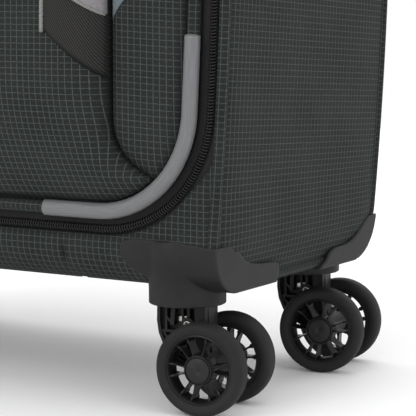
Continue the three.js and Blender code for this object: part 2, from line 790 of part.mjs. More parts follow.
function buildCasters() {
  const fork = forkSolid();
  const wheel = wheelSolid();
  const reach = WHEEL_SPREAD + WHEEL_WIDTH / 2 - 2.2;
  const axle = bar("y", AXLE_RADIUS, -reach, reach, [0, 0, 0], 12);
  const headTop = FORK_DISC_BOTTOM - GAP;
  const pinTop = HOUSING_TOP - HOUSING_CROWN - GAP;
  const pin = union(
    bar("z", PIN_RADIUS, headTop - 1, pinTop, [0, 0, 0], 12),
    bar("z", PIN_HEAD_RADIUS, headTop - PIN_HEAD_THICK, headTop, [0, 0, 0], 16),
  );
  for (const [end, y, rest] of [
    ["front", frontCasterY, FRONT_REST_DEGREES],
    ["rear", rearCasterY, REAR_REST_DEGREES],
  ]) {
    for (const [hand, side, degrees] of [
      ["right", 1, rest[0]],
      ["left", -1, rest[1]],
    ]) {
      const name = end + "_" + hand;
      add(name + "_swivel_pin", pin, steel).position.set(side * casterX, y, 0);
      const caster = new THREE.Group();
      caster.position.set(side * casterX, y, 0);
      caster.rotation.z = THREE.MathUtils.degToRad(degrees);
      suitcase.add(caster);
      add(name + "_fork", fork, plastic, caster);
      add(name + "_axle", axle, steel, caster).position.set(TRAIL, 0, WHEEL_RADIUS);
      const near = add(name + "_wheel_a", wheel, wheelBlack, caster);
      near.position.set(TRAIL, -WHEEL_SPREAD, WHEEL_RADIUS);
      near.rotation.z = Math.PI;
      const far = add(name + "_wheel_b", wheel, wheelBlack, caster);
      far.position.set(TRAIL, WHEEL_SPREAD, WHEEL_RADIUS);
    }
  }
}

// ---------- Trolley ----------

function rectTube(side, size, wall, low, high) {
  const x = side * TUBE_HALF_SPACING;
  const half = [size[0] / 2, size[1] / 2];
  const hollow = [half[0] - wall, half[1] - wall];
  return cut(
    block([x - half[0], x + half[0]], [tubeY - half[1], tubeY + half[1]], [low, high]),
    block(
      [x - hollow[0], x + hollow[0]],
      [tubeY - hollow[1], tubeY + hollow[1]],
      [low - 1, high + 1],
    ),
  );
}

const nested = (size) => size.map((s) => s - 2 * (TUBE_WALL + TUBE_PLAY));

function buildTrolley() {
  const middle = nested(OUTER_TUBE);
  const inner = nested(middle);
  for (const [side, name] of [
    [-1, "left"],
    [1, "right"],
  ]) {
    const low = footTop + GAP;
    add("outer_tube_" + name, rectTube(side, OUTER_TUBE, TUBE_WALL, low, outerTubeTop), aluminium);
    add(
      "middle_tube_" + name,
      rectTube(side, middle, TUBE_WALL, low + 3, bezelFloor - GAP),
      aluminium,
    );
    add(
      "inner_tube_" + name,
      rectTube(side, inner, TUBE_WALL, low + 6, gripBottom + GRIP_HEIGHT / 2),
      aluminium,
    );
  }

  const foot = block(
    [-FOOT_HALF_WIDTH, FOOT_HALF_WIDTH],
    [tubeY - OUTER_TUBE[1] / 2, BODY_DEPTH - BOARD - GAP],
    [footBottom, footTop],
  );
  add("trolley_foot", foot, plastic);

  // The bezel covers the rolled back edge: a tray on top and a lip down the back.
  const behind = BODY_DEPTH + GAP;
  const tray = block(
    [-BEZEL_HALF_WIDTH, BEZEL_HALF_WIDTH],
    [BEZEL_FRONT, behind + BEZEL_BACK_PROUD],
    [BODY_TOP + GAP, bezelTop],
  );
  const lip = block(
    [-BEZEL_HALF_WIDTH, BEZEL_HALF_WIDTH],
    [behind, behind + BEZEL_BACK_PROUD],
    [BODY_TOP - TOP_ROLL, bezelTop],
  );
  const play = 1;
  const recess = block(
    [-GRIP_HALF_WIDTH - play, GRIP_HALF_WIDTH + play],
    [tubeY - GRIP_DEEP / 2 - play, tubeY + GRIP_DEEP / 2 + play],
    [bezelFloor, bezelTop + REACH],
  );
  const passages = [-1, 1].map((side) => tubePassage(side, 0, BODY_TOP, bezelTop + 1));
  add("trolley_bezel", cut(union(tray, lip), recess, ...passages), plastic);

  const sockets = [-1, 1].map((side) => {
    const half = [inner[0] / 2 + GAP, inner[1] / 2 + GAP];
    const x = side * TUBE_HALF_SPACING;
    return block(
      [x - half[0], x + half[0]],
      [tubeY - half[1], tubeY + half[1]],
      [gripBottom - 1, gripBottom + GRIP_HEIGHT / 2 + GAP],
    );
  });
  const buttonBottom = gripTop + BUTTON_PROUD - BUTTON_HEIGHT;
  const well = block(
    [-BUTTON_HALF_WIDTH - GAP, BUTTON_HALF_WIDTH + GAP],
    [tubeY - BUTTON_DEEP / 2 - GAP, tubeY + BUTTON_DEEP / 2 + GAP],
    [buttonBottom - BUTTON_TRAVEL - GAP, gripTop + 1],
  );
  const edge = 3;
  const gripShape = new THREE.Shape([
    new THREE.Vector2(tubeY - GRIP_DEEP / 2, gripBottom),
    new THREE.Vector2(tubeY + GRIP_DEEP / 2, gripBottom),
    new THREE.Vector2(tubeY + GRIP_DEEP / 2, gripTop - edge),
    new THREE.Vector2(tubeY + GRIP_DEEP / 2 - edge, gripTop),
    new THREE.Vector2(tubeY - GRIP_DEEP / 2 + edge, gripTop),
    new THREE.Vector2(tubeY - GRIP_DEEP / 2, gripTop - edge),
  ]);
  const grip = cut(alongX(gripShape, -GRIP_HALF_WIDTH, GRIP_HALF_WIDTH), ...sockets, well);
  add("trolley_grip", grip, plastic);
  const button = block(
    [-BUTTON_HALF_WIDTH, BUTTON_HALF_WIDTH],
    [tubeY - BUTTON_DEEP / 2, tubeY + BUTTON_DEEP / 2],
    [buttonBottom, gripTop + BUTTON_PROUD],
  );
  add("grip_button", button, guardGrey);
}

// ---------- Carry handles ----------

// A handle in its own frame: X along it, Y across it, Z away from the board it stands on.
function handleSolid() {
  const half = HANDLE_HALF_SPAN + HANDLE_LEG[0] / 2;
  const knee = HANDLE_HALF_CROWN + 12;
  const under = [
    [half, HANDLE_FOOT_RISE],
    [knee, HANDLE_FOOT_RISE + 2],
    [HANDLE_HALF_CROWN, HANDLE_CROWN_RISE],
  ];
  const over = under.map(([x, z]) => [x, z + HANDLE_THICK]);
  const mirrored = (points) => points.map(([x, z]) => [-x, z]);
  const shape = new THREE.Shape(
    [...mirrored(under), ...under.toReversed(), ...over, ...mirrored(over).toReversed()].map(
      ([x, z]) => new THREE.Vector2(x, z),
    ),
  );
  const strap = alongY(shape, -HANDLE_WIDE / 2, HANDLE_WIDE / 2);
  const legLow = -BOARD - HANDLE_STOP_PLAY - HANDLE_TRAVEL - HANDLE_STOP_THICK;
  const legs = [-1, 1].flatMap((side) => {
    const x = side * HANDLE_HALF_SPAN;
    const half = [HANDLE_LEG[0] / 2, HANDLE_LEG[1] / 2];
    return [
      block([x - half[0], x + half[0]], [-half[1], half[1]], [legLow, HANDLE_FOOT_RISE + 1]),
      block(
        [x - half[0] - HANDLE_STOP_EXTRA, x + half[0] + HANDLE_STOP_EXTRA],
        [-half[1] - HANDLE_STOP_EXTRA, half[1] + HANDLE_STOP_EXTRA],
        [legLow, legLow + HANDLE_STOP_THICK],
      ),
    ];
  });
  return union(strap, ...legs);
}

function bracketSolid(side) {
  const x = side * HANDLE_HALF_SPAN;
  const [slotX, slotY] = legSlot(x, 0);
  return cut(
    block(
      [x - BRACKET_LONG / 2, x + BRACKET_LONG / 2],
      [-BRACKET_WIDE / 2, BRACKET_WIDE / 2],
      [GAP, GAP + BRACKET_HIGH],
    ),
    block(slotX, slotY, [-1, REACH]),
  );
}

function buildCarryHandles() {
  const handle = handleSolid();
  const top = new THREE.Group();
  top.position.set(0, TOP_HANDLE_Y, BODY_TOP);
  suitcase.add(top);
  add("top_carry_handle", handle, plastic, top);
  add("top_handle_bracket_left", bracketSolid(-1), plastic, top);
  add("top_handle_bracket_right", bracketSolid(1), plastic, top);

  // The side handle stands on the right panel: its length runs down the side.
  const side = new THREE.Group();
  side.position.set(sideX(sideHandleZ), SIDE_HANDLE_Y, sideHandleZ);
  side.rotation.y = Math.PI / 2;
  suitcase.add(side);
  add("side_carry_handle", handle, plastic, side);
  add("side_handle_bracket_upper", bracketSolid(-1), plastic, side);
  add("side_handle_bracket_lower", bracketSolid(1), plastic, side);
}

// ---------- Inside ----------

function buildInside() {
  const low = footBottom;
  const high = BODY_TOP - TOP_ROLL - 6;
  const panel = block(
    [-LINER_HALF_WIDTH, LINER_HALF_WIDTH],
    [linerFront, linerBack],
    [low, high],
  );
  add("inner_liner", panel, lining);

  // Two packing straps that cross at a buckle, lying on the liner.
  const length = 2 * Math.hypot(LINER_HALF_WIDTH - STRAP_WIDE, (high - low) / 2 - STRAP_WIDE);
  const angle = Math.atan2((high - low) / 2 - STRAP_WIDE, LINER_HALF_WIDTH - STRAP_WIDE);
  const strap = (turn) => {
    const geometry = new THREE.BoxGeometry(length, STRAP_THICK, STRAP_WIDE);
    geometry.rotateY(turn);
    geometry.translate(0, linerFront - GAP - STRAP_THICK / 2, (low + high) / 2);
    return solid(geometry);
  };
  const buckle = block(
    [-BUCKLE_HALF, BUCKLE_HALF],
    [linerFront - GAP - BUCKLE_THICK, linerFront - GAP],
    [(low + high) / 2 - BUCKLE_HALF, (low + high) / 2 + BUCKLE_HALF],
  );
  add("packing_straps", union(strap(angle), strap(-angle), buckle), lining);
}

buildBottomPanel();
buildTopPanel();
buildSidePanels();
buildBackPanel();
buildFrontRim();
buildMainZipper();
buildLid();
buildPockets();
buildMainSliders();
buildPocketSliders();
buildHousings();
buildCasters();
buildTrolley();
buildCarryHandles();
buildInside();

// The origin is the middle of the footprint, on the ground.
const bounds = new THREE.Box3().setFromObject(suitcase);
suitcase.position.set(
  -(bounds.min.x + bounds.max.x) / 2,
  -(bounds.min.y + bounds.max.y) / 2,
  -bounds.min.z,
);

export default suitcase;
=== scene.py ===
import json
import math

import bmesh
import bpy
import numpy as np
from mathutils import Matrix, Vector

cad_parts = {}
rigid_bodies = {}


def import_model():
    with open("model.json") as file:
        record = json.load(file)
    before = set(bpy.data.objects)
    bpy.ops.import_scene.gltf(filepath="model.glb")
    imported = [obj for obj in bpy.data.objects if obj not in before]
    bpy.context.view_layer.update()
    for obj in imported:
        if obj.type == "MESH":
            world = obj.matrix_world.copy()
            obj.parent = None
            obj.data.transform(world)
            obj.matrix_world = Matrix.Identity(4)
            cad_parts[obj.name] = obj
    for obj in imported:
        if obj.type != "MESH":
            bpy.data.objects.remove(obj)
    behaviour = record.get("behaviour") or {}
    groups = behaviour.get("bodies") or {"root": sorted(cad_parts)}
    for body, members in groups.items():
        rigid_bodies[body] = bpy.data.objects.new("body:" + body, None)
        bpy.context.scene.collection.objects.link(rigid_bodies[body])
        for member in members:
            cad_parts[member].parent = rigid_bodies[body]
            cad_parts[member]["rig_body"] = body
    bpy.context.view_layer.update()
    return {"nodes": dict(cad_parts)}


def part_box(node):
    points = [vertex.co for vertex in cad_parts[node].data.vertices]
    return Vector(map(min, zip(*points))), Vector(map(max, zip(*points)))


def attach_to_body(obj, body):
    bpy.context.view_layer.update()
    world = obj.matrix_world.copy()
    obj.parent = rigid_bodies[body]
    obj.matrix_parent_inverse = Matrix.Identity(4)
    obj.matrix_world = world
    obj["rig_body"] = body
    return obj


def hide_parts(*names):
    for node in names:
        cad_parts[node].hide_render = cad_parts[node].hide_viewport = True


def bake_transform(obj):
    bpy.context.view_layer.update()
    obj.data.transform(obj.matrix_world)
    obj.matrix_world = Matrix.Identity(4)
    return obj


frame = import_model()

# The looks of a softside upright suitcase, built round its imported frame.
# Shapes are worked out in millimetres from the body's centre line (x), its front face (y) and the
# ground (z), and placed() turns them into metres in the frame.

MM = 0.001
Z_AXIS = Vector((0, 0, 1))


# ---------- Sizes read from the frame ----------


def span(node):
    low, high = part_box(node)
    return np.array(low) / MM, np.array(high) / MM


ORIGIN = np.array(
    [(span("left_side_panel")[0][0] + span("right_side_panel")[1][0]) / 2, span("front_rim")[0][1], 0]
)


def local(node):
    low, high = span(node)
    return low - ORIGIN, high - ORIGIN


def placed(points):
    return (np.asarray(points, float) + ORIGIN) * MM


SEAM_GAP = 3.3  # a side board and the gap beside it
LOW = local("bottom_panel")[0][2]
HIGH = local("top_panel")[1][2]
DEPTH = local("back_panel")[1][1]
HALF = local("bottom_panel")[1][0] + SEAM_GAP
BOW = local("right_side_panel")[1][0] - HALF
MIDDLE = (LOW + HIGH) / 2
FRONT_ROLL = 20
BACK_ROLL = 28
TOP_ROLL = 14
COIL_HALF = 1.7
COIL_CORNER = 67
COIL_INSET = HALF + BOW + COIL_HALF - local("main_zipper_coil")[1][0]
COIL_LOW = local("main_zipper_coil")[0][2] + COIL_HALF
COIL_HIGH = local("main_zipper_coil")[1][2] - COIL_HALF
CORNER_Z = COIL_LOW + COIL_CORNER
LID_FACE = local("lid_panel")[0][1]
POCKET_LOW = local("lower_pocket")[0][2]
POCKET_HIGH = local("lower_pocket")[1][2]
UPPER_LOW = local("upper_pocket")[0][2]
UPPER_HIGH = local("upper_pocket")[1][2]
UPPER_HALF = local("upper_pocket")[1][0]
SEAM_HALF = 126  # half width between the lower pocket's upright seams
PIPE_OFFSET = 10  # the lid's piping, inwards from the zip
ENDS = ("front", "rear")
HANDS = ("right", "left")


def side_x(z):
    return HALF + BOW * (1 - ((np.asarray(z, float) - MIDDLE) / (HIGH - MIDDLE)) ** 2)


CORNER_X = float(side_x(CORNER_Z)) - COIL_INSET - COIL_CORNER


# ---------- Curves ----------


def resampled(points, pitch, closed=False):
    """The same line with points an even distance apart, close to pitch."""
    points = np.asarray(points, float)
    if closed:
        points = np.vstack([points, points[:1]])
    along = np.concatenate([[0], np.cumsum(np.linalg.norm(np.diff(points, axis=0), axis=1))])
    count = max(2, int(round(along[-1] / pitch)))
    at = np.linspace(0, along[-1], count + 1)
    line = np.stack([np.interp(at, along, points[:, i]) for i in range(points.shape[1])], 1)
    return line[:-1] if closed else line


def arc(cx, cz, radius, start, stop, steps=14):
    a = np.radians(np.linspace(start, stop, steps + 1))
    return np.stack([cx + radius * np.cos(a), cz + radius * np.sin(a)], 1)


def rounded(points, steps=5, closed=True):
    """A Catmull-Rom curve through the points."""
    p = np.asarray(points, float)
    n = len(p)
    line = []
    for i in range(n if closed else n - 1):
        a, b, c, d = (p[(i + k) % n] if closed else p[min(max(i + k, 0), n - 1)] for k in (-1, 0, 1, 2))
        bend = 2 * a - 5 * b + 4 * c - d
        twist = 3 * b - a - 3 * c + d
        for t in np.arange(steps) / steps:
            line.append(0.5 * (2 * b + (c - a) * t + bend * t**2 + twist * t**3))
    if not closed:
        line.append(p[-1])
    return np.array(line)


def body_outline(grow=0.0):
    """The body from the side, as (y, z), anticlockwise from the front face's lower end."""
    front, rear, top = FRONT_ROLL + grow, BACK_ROLL + grow, TOP_ROLL + grow
    low, high, near, far = LOW - grow, HIGH + grow, -grow, DEPTH + grow
    return np.vstack(
        [
            arc(near + front, low + front, front, 180, 270),
            arc(far - rear, low + rear, rear, 270, 360),
            arc(far - top, high - top, top, 0, 90),
            arc(near + top, high - top, top, 90, 180),
        ]
    )


def coil_loop(offset, pitch=3.0):
    """The zip's line moved inwards by offset, as (x, z), anticlockwise from the hinge's lower end."""
    radius = COIL_CORNER - offset
    low, high = COIL_LOW + offset, COIL_HIGH - offset
    rises = np.linspace(low + radius, high - radius, 60)[1:-1]
    sides = np.stack([side_x(rises) - COIL_INSET - offset, rises], 1)
    top_x = float(side_x(high - radius)) - COIL_INSET - COIL_CORNER
    lower = arc(CORNER_X, low + radius, radius, 270, 360)
    upper = arc(top_x, high - radius, radius, 0, 90)
    right = np.vstack([lower, sides, upper])
    left = right[::-1] * [-1, 1]
    loop = resampled(np.vstack([right, left]), pitch, closed=True)
    beside = loop[:, 0] + side_x(CORNER_Z) - COIL_INSET - offset
    start = np.argmin(np.hypot(beside, loop[:, 1] - low - radius))
    return np.roll(loop, -start, axis=0)


def zip_inset(x, z):
    """How far inside the zip's line a point of the lid's plane lies."""
    x, z = np.abs(x), np.asarray(z, float)
    top_z = COIL_HIGH - COIL_CORNER
    straight = np.minimum(np.minimum(z - COIL_LOW, COIL_HIGH - z), side_x(z) - COIL_INSET - x)
    low = COIL_CORNER - np.hypot(x - CORNER_X, z - CORNER_Z)
    high = COIL_CORNER - np.hypot(x - CORNER_X, z - top_z)
    at_corner = (x > CORNER_X) & ((z < CORNER_Z) | (z > top_z))
    return np.where(at_corner, np.where(z < MIDDLE, low, high), straight)


def fold(x, z, lift):
    """A point of the front face's flat pattern, with the face's two rolled edges bent back."""
    z = np.asarray(z, float)
    low_z, high_z = LOW + FRONT_ROLL, HIGH - TOP_ROLL
    low_turn = np.clip((low_z - z) / FRONT_ROLL, 0, None)
    high_turn = np.clip((z - high_z) / TOP_ROLL, 0, None)
    radius = np.where(z < MIDDLE, FRONT_ROLL, TOP_ROLL)
    turn = np.where(z < MIDDLE, low_turn, high_turn)
    centre = np.where(z < MIDDLE, low_z, high_z)
    away = np.where(z < MIDDLE, -1, 1) * (radius + lift) * np.sin(turn)
    y = radius - (radius + lift) * np.cos(turn)
    return np.stack([x, y, np.where(turn > 0, centre + away, z)], -1)


def ease(t):
    """From 0 to 1 along a quarter of a circle: steep at first, then level."""
    t = np.clip(t, 0, 1)
    return np.sqrt(1 - (1 - t) ** 2)


def smoothstep(t):
    t = np.clip(t, 0, 1)
    return t * t * (3 - 2 * t)


def distance_to(x, z, line):
    """Distance from each point to an open line."""
    p = np.stack([np.ravel(x), np.ravel(z)], 1)
    nearest = np.full(len(p), 1e9)
    for a, b in zip(line[:-1], line[1:]):
        step = b - a
        t = np.clip((p - a) @ step / max(step @ step, 1e-12), 0, 1)
        nearest = np.minimum(nearest, np.linalg.norm(p - a - t[:, None] * step, axis=1))
    return nearest.reshape(np.shape(x))


# ---------- Meshes ----------


def grid_faces(rows, cols, wrap_rows=False, wrap_cols=False):
    i = np.arange(rows if wrap_rows else rows - 1)
    j = np.arange(cols if wrap_cols else cols - 1)
    i, j = (k.ravel() for k in np.meshgrid(i, j, indexing="ij"))
    down, over = (i + 1) % rows, (j + 1) % cols
    return np.stack([i * cols + j, i * cols + over, down * cols + over, down * cols + j], 1)


def write_attribute(mesh, name, values):
    values = np.asarray(values, np.float32)
    kind, field = ("FLOAT", "value") if values.ndim == 1 else ("FLOAT_VECTOR", "vector")
    mesh.attributes.new(name, kind, "POINT").data.foreach_set(field, values.ravel())


def piece(name, points, faces, body, slot, materials, weave=None, crease_shade=None, matrix=None, replaces=()):
    """A piece of the case. Points are in the body's millimetres, or in a matrix's own frame."""
    mesh = bpy.data.meshes.new(name)
    points = np.asarray(points, float).reshape(-1, 3)
    inside = points * MM if matrix is not None else placed(points)
    mesh.from_pydata(inside.tolist(), [], [list(map(int, f)) for f in faces])
    if weave is not None:
        flat = np.asarray(weave, float).reshape(-1, 2)
        write_attribute(mesh, "weave", np.column_stack([flat, np.zeros(len(flat))]))
    # The painted-shade mask along seams, edges and creases, written for the cloth materials.
    if crease_shade is not None:
        write_attribute(mesh, "crease_shade", np.ravel(crease_shade))
    return attach(name, mesh, body, materials, matrix, replaces)


def attach(name, mesh, body, materials, matrix=None, replaces=()):
    for material in materials if isinstance(materials, (list, tuple)) else [materials]:
        mesh.materials.append(material)
    mesh.polygons.foreach_set("use_smooth", [True] * len(mesh.polygons))
    made = bpy.data.objects.new(name, mesh)
    bpy.context.scene.collection.objects.link(made)
    if matrix is not None:
        made.matrix_world = matrix
    if body:
        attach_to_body(made, body)
    if replaces:
        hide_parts(*replaces)
    return made


def face_away_from(made, point):
    """Turns an open sheet's faces so that they look away from a point of the body."""
    mesh = made.data
    target = Vector(placed(point))
    total = sum((p.center - target).dot(p.normal) * p.area for p in mesh.polygons)
    if total < 0:
        mesh.flip_normals()
    return made


def thicken(made, thickness, lined=False):
    shell = made.modifiers.new("thickness", "SOLIDIFY")
    shell.thickness = thickness * MM
    shell.offset = -1
    if lined:
        shell.material_offset = 1
        shell.material_offset_rim = 0
    return made


def bevelled(made, width, segments=2, angle=35):
    bevel = made.modifiers.new("edges", "BEVEL")
    bevel.width = width * MM
    bevel.segments = segments
    bevel.limit_method = "ANGLE"
    bevel.angle_limit = math.radians(angle)
    bevel.harden_normals = True
    return made


def tube(path, radius, sides=12, closed=False, across=(0, 1, 0), flat=1.0, round_ends=True):
    """A bar swept along a path: points, faces and the cloth pattern's coordinates on it."""
    path = np.asarray(path, float)
    ahead = np.roll(path, -1, 0) - np.roll(path, 1, 0) if closed else np.gradient(path, axis=0)
    ahead /= np.linalg.norm(ahead, axis=1)[:, None]
    up = np.asarray(across, float) - ahead * (ahead @ np.asarray(across, float))[:, None]
    up /= np.linalg.norm(up, axis=1)[:, None]
    side = np.cross(ahead, up)
    radii = np.full(len(path), float(radius))
    along = np.concatenate([[0], np.cumsum(np.linalg.norm(np.diff(path, axis=0), axis=1))])
    if not closed and round_ends:
        turns = np.radians([0, 30, 60, 85])
        tips = [path[0] - ahead[0] * radius * 0.5 * (1 - math.sin(t)) for t in turns]
        tails = [path[-1] + ahead[-1] * radius * 0.5 * (1 - math.sin(t)) for t in turns[::-1]]
        ends = radius * np.cos(np.pi / 2 - turns).clip(0.06, 1)
        path = np.vstack([tips, path, tails])
        radii = np.concatenate([ends, radii, ends[::-1]])
        up = np.vstack([np.repeat(up[:1], 4, 0), up, np.repeat(up[-1:], 4, 0)])
        side = np.vstack([np.repeat(side[:1], 4, 0), side, np.repeat(side[-1:], 4, 0)])
        along = np.concatenate([[along[0]] * 4, along, [along[-1]] * 4])
    a = 2 * np.pi * np.arange(sides) / sides
    ring = np.cos(a)[None, :, None] * side[:, None] + flat * np.sin(a)[None, :, None] * up[:, None]
    points = path[:, None] + ring * radii[:, None, None]
    faces = [list(f) for f in grid_faces(len(path), sides, wrap_rows=closed, wrap_cols=True)]
    if not closed:
        faces += [list(range(sides))[::-1], [len(points) * sides - sides + i for i in range(sides)]]
    around = radius * np.minimum(a, 2 * np.pi - a)
    weave = np.stack(np.broadcast_arrays(around[None, :], along[:, None]), -1)
    return points.reshape(-1, 3), faces, weave.reshape(-1, 2)


def lathe(profile, steps=48):
    """A closed profile of (radius, y) turned about the Y axis."""
    profile = np.asarray(profile, float)
    a = 2 * np.pi * np.arange(steps) / steps
    radius, along = profile[None, :, 0], profile[None, :, 1]
    turned = np.broadcast_arrays(radius * np.cos(a)[:, None], along, radius * np.sin(a)[:, None])
    points = np.stack(turned, -1)
    return points.reshape(-1, 3), grid_faces(steps, len(profile), wrap_rows=True, wrap_cols=True)


def prism(outline, start, stop, axis):
    """A closed outline run from start to stop along an axis.

    The outline's two values are the other two axes, in order.
    """
    outline = np.asarray(outline, float)
    n = len(outline)
    ends = [np.insert(outline, axis, value, axis=1) for value in (start, stop)]
    faces = [[i, (i + 1) % n, n + (i + 1) % n, n + i] for i in range(n)]
    return np.vstack(ends), faces + [list(range(n))[::-1], list(range(n, 2 * n))]


# A box's faces over its four lower corners and then its four upper ones.
BOX_FACES = [[0, 3, 2, 1], [4, 5, 6, 7]] + [[i, (i + 1) % 4, 4 + (i + 1) % 4, 4 + i] for i in range(4)]


def block(low, high):
    (x0, y0, z0), (x1, y1, z1) = low, high
    return prism([(x0, y0), (x1, y0), (x1, y1), (x0, y1)], z0, z1, 2)


def joined(*parts):
    """Several closed shapes as one list of points and faces."""
    points, faces, count = [], [], 0
    for part in parts:
        points.append(np.asarray(part[0], float).reshape(-1, 3))
        faces += [[int(i) + count for i in f] for f in part[1]]
        count += len(points[-1])
    return np.vstack(points), faces


def outward(mesh):
    work = bmesh.new()
    work.from_mesh(mesh)
    bmesh.ops.recalc_face_normals(work, faces=work.faces)
    work.to_mesh(mesh)
    work.free()
    return mesh


def mesh_of(shape, scale=MM):
    mesh = bpy.data.meshes.new("shape")
    mesh.from_pydata((np.asarray(shape[0]) * scale).tolist(), [], [list(map(int, f)) for f in shape[1]])
    return outward(mesh)


def with_modifiers(mesh, *steps):
    """The mesh after modifiers, each given as (kind, settings)."""
    worker = bpy.data.objects.new("worker", mesh)
    bpy.context.scene.collection.objects.link(worker)
    for kind, settings in steps:
        modifier = worker.modifiers.new(kind, kind)
        for key, value in settings.items():
            setattr(modifier, key, value)
    bpy.context.view_layer.update()
    ready = bpy.data.meshes.new_from_object(worker.evaluated_get(bpy.context.evaluated_depsgraph_get()))
    bpy.data.objects.remove(worker)
    return ready


def combined(mesh, other, operation):
    tool = bpy.data.objects.new("tool", other)
    bpy.context.scene.collection.objects.link(tool)
    ready = with_modifiers(mesh, ("BOOLEAN", {"operation": operation, "object": tool, "solver": "EXACT"}))
    bpy.data.objects.remove(tool)
    return ready


def relaxed(mesh, rounds):
    """Evens a mesh's surface without shrinking it, by alternate smoothing and sharpening steps."""
    co = np.empty(len(mesh.vertices) * 3)
    mesh.vertices.foreach_get("co", co)
    co = co.reshape(-1, 3)
    edges = np.empty(len(mesh.edges) * 2, int)
    mesh.edges.foreach_get("vertices", edges)
    a, b = edges.reshape(-1, 2).T
    count = np.bincount(np.concatenate([a, b]), minlength=len(co)).clip(1)[:, None]
    for _ in range(rounds):
        for share in (0.5, -0.52):
            total = np.zeros_like(co)
            np.add.at(total, a, co[b])
            np.add.at(total, b, co[a])
            co += share * (total / count - co)
    mesh.vertices.foreach_set("co", co.ravel())
    mesh.update()
    return mesh


def moulded(shape, voxel, rounds):
    """Overlapping closed shapes grown together into one moulded body with soft inner corners."""
    mesh = shape if isinstance(shape, bpy.types.Mesh) else mesh_of(shape)
    grown = with_modifiers(mesh, ("REMESH", {"mode": "VOXEL", "voxel_size": voxel * MM}))
    return relaxed(grown, rounds)


def softened(node, width, material, segments=3):
    """A CAD node's own shape with its edges rounded off."""
    work = bmesh.new()
    work.from_mesh(frame["nodes"][node].data)
    bmesh.ops.remove_doubles(work, verts=work.verts, dist=1e-6)
    bmesh.ops.dissolve_limit(work, angle_limit=math.radians(1), verts=work.verts, edges=work.edges)
    mesh = bpy.data.meshes.new(node)
    work.to_mesh(mesh)
    work.free()
    body = frame["nodes"][node]["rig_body"]
    made = attach(node + "_finished", mesh, body, material, replaces=[node])
    return bevelled(made, width, segments)


def stitches(name, lines, body, material, slot, pitch=3.4, length=2.3, radius=0.32):
    """Thread that shows as a row of short raised dashes along each line."""
    ring = 2 * np.pi * np.arange(6) / 6
    shapes = []
    for line in lines:
        line = resampled(line, pitch)
        for a, b in zip(line[:-1], line[1:]):
            ahead = (b - a) / np.linalg.norm(b - a)
            up = np.cross(ahead, [0.31, 0.87, 0.39])
            up /= np.linalg.norm(up)
            side = np.cross(ahead, up)
            hoops = []
            for share, size in ((-0.5, 0.35), (-0.36, 0.9), (0.36, 0.9), (0.5, 0.35)):
                centre = (a + b) / 2 + ahead * length * share
                spoke = np.cos(ring)[:, None] * side + np.sin(ring)[:, None] * up
                hoops.append(centre + radius * size * spoke)
            ends = [list(range(6))[::-1], list(range(18, 24))]
            shapes.append((np.vstack(hoops), [list(f) for f in grid_faces(4, 6, wrap_cols=True)] + ends))
    points, faces = joined(*shapes)
    return piece(name, points, faces, body, slot, material)


# ---------- Materials ----------


class Nodes:
    """A Principled material and short names for the nodes that feed it."""

    def __init__(self, name, color, roughness, metallic=0.0, sheen=0.0, gloss=0.5):
        self.material = bpy.data.materials.new(name)
        self.material.use_nodes = True
        self.tree = self.material.node_tree
        self.shader = self.tree.nodes["Principled BSDF"]
        self.shader.inputs["Base Color"].default_value = (*color, 1)
        self.shader.inputs["Roughness"].default_value = roughness
        self.shader.inputs["Metallic"].default_value = metallic
        self.shader.inputs["Sheen Weight"].default_value = sheen
        self.shader.inputs["Specular IOR Level"].default_value = gloss

    def node(self, kind, inputs=(), **settings):
        made = self.tree.nodes.new(kind)
        for key, value in settings.items():
            setattr(made, key, value)
        for key, value in dict(inputs).items():
            if isinstance(value, bpy.types.NodeSocket):
                self.tree.links.new(value, made.inputs[key])
            else:
                made.inputs[key].default_value = value
        return made

    def math(self, operation, a, b=0.0, clamp=False):
        return self.node("ShaderNodeMath", {0: a, 1: b}, operation=operation, use_clamp=clamp).outputs[0]

    def mix(self, share, low, high):
        made = self.node("ShaderNodeMix", {0: share}, data_type="RGBA")
        for index, value in ((6, low), (7, high)):
            if isinstance(value, bpy.types.NodeSocket):
                self.tree.links.new(value, made.inputs[index])
            else:
                made.inputs[index].default_value = (*value, 1)
        return made.outputs[2]

    def span(self, value, low, high, to_low=0.0, to_high=1.0):
        made = self.node(
            "ShaderNodeMapRange", {0: value, 1: low, 2: high, 3: to_low, 4: to_high}, interpolation_type="SMOOTHSTEP"
        )
        return made.outputs[0]

    def own_place(self, scale=1000.0):
        """The surface's own coordinates, in millimetres."""
        found = self.node("ShaderNodeTexCoord").outputs["Object"]
        return self.node("ShaderNodeVectorMath", {0: found, 3: scale}, operation="SCALE").outputs[0]

    def cloth_place(self):
        return self.node("ShaderNodeAttribute", attribute_name="weave").outputs["Vector"]

    # The mask of painted shade along seams, edges and creases, stored on each cloth piece.
    def crease_shade(self):
        return self.node("ShaderNodeAttribute", attribute_name="crease_shade").outputs["Fac"]

    def parts(self, vector):
        made = self.node("ShaderNodeSeparateXYZ", {0: vector})
        return made.outputs[0], made.outputs[1], made.outputs[2]

    def noise(self, vector, scale, detail=2.0, roughness=0.5):
        made = self.node("ShaderNodeTexNoise", {"Vector": vector, "Scale": scale, "Detail": detail})
        made.inputs["Roughness"].default_value = roughness
        return made.outputs[0]

    def lines(self, value, pitch, width):
        """1 on a thread and 0 between threads."""
        away = self.math("PINGPONG", value, pitch / 2)
        return self.span(away, width * 0.25, width * 0.75, 1.0, 0.0)

    def wave(self, value, pitch):
        return self.math("SINE", self.math("MULTIPLY", value, 2 * math.pi / pitch))

    def bump(self, height, depth, strength=1.0):
        made = self.node("ShaderNodeBump", {"Height": height, "Distance": depth * MM, "Strength": strength})
        self.tree.links.new(made.outputs[0], self.shader.inputs["Normal"])

    def color(self, value):
        self.tree.links.new(value, self.shader.inputs["Base Color"])

    def roughness(self, value):
        self.tree.links.new(value, self.shader.inputs["Roughness"])


GRID_ACROSS = 3.85  # between upright threads
GRID_UP = 3.3
THREAD = 0.42


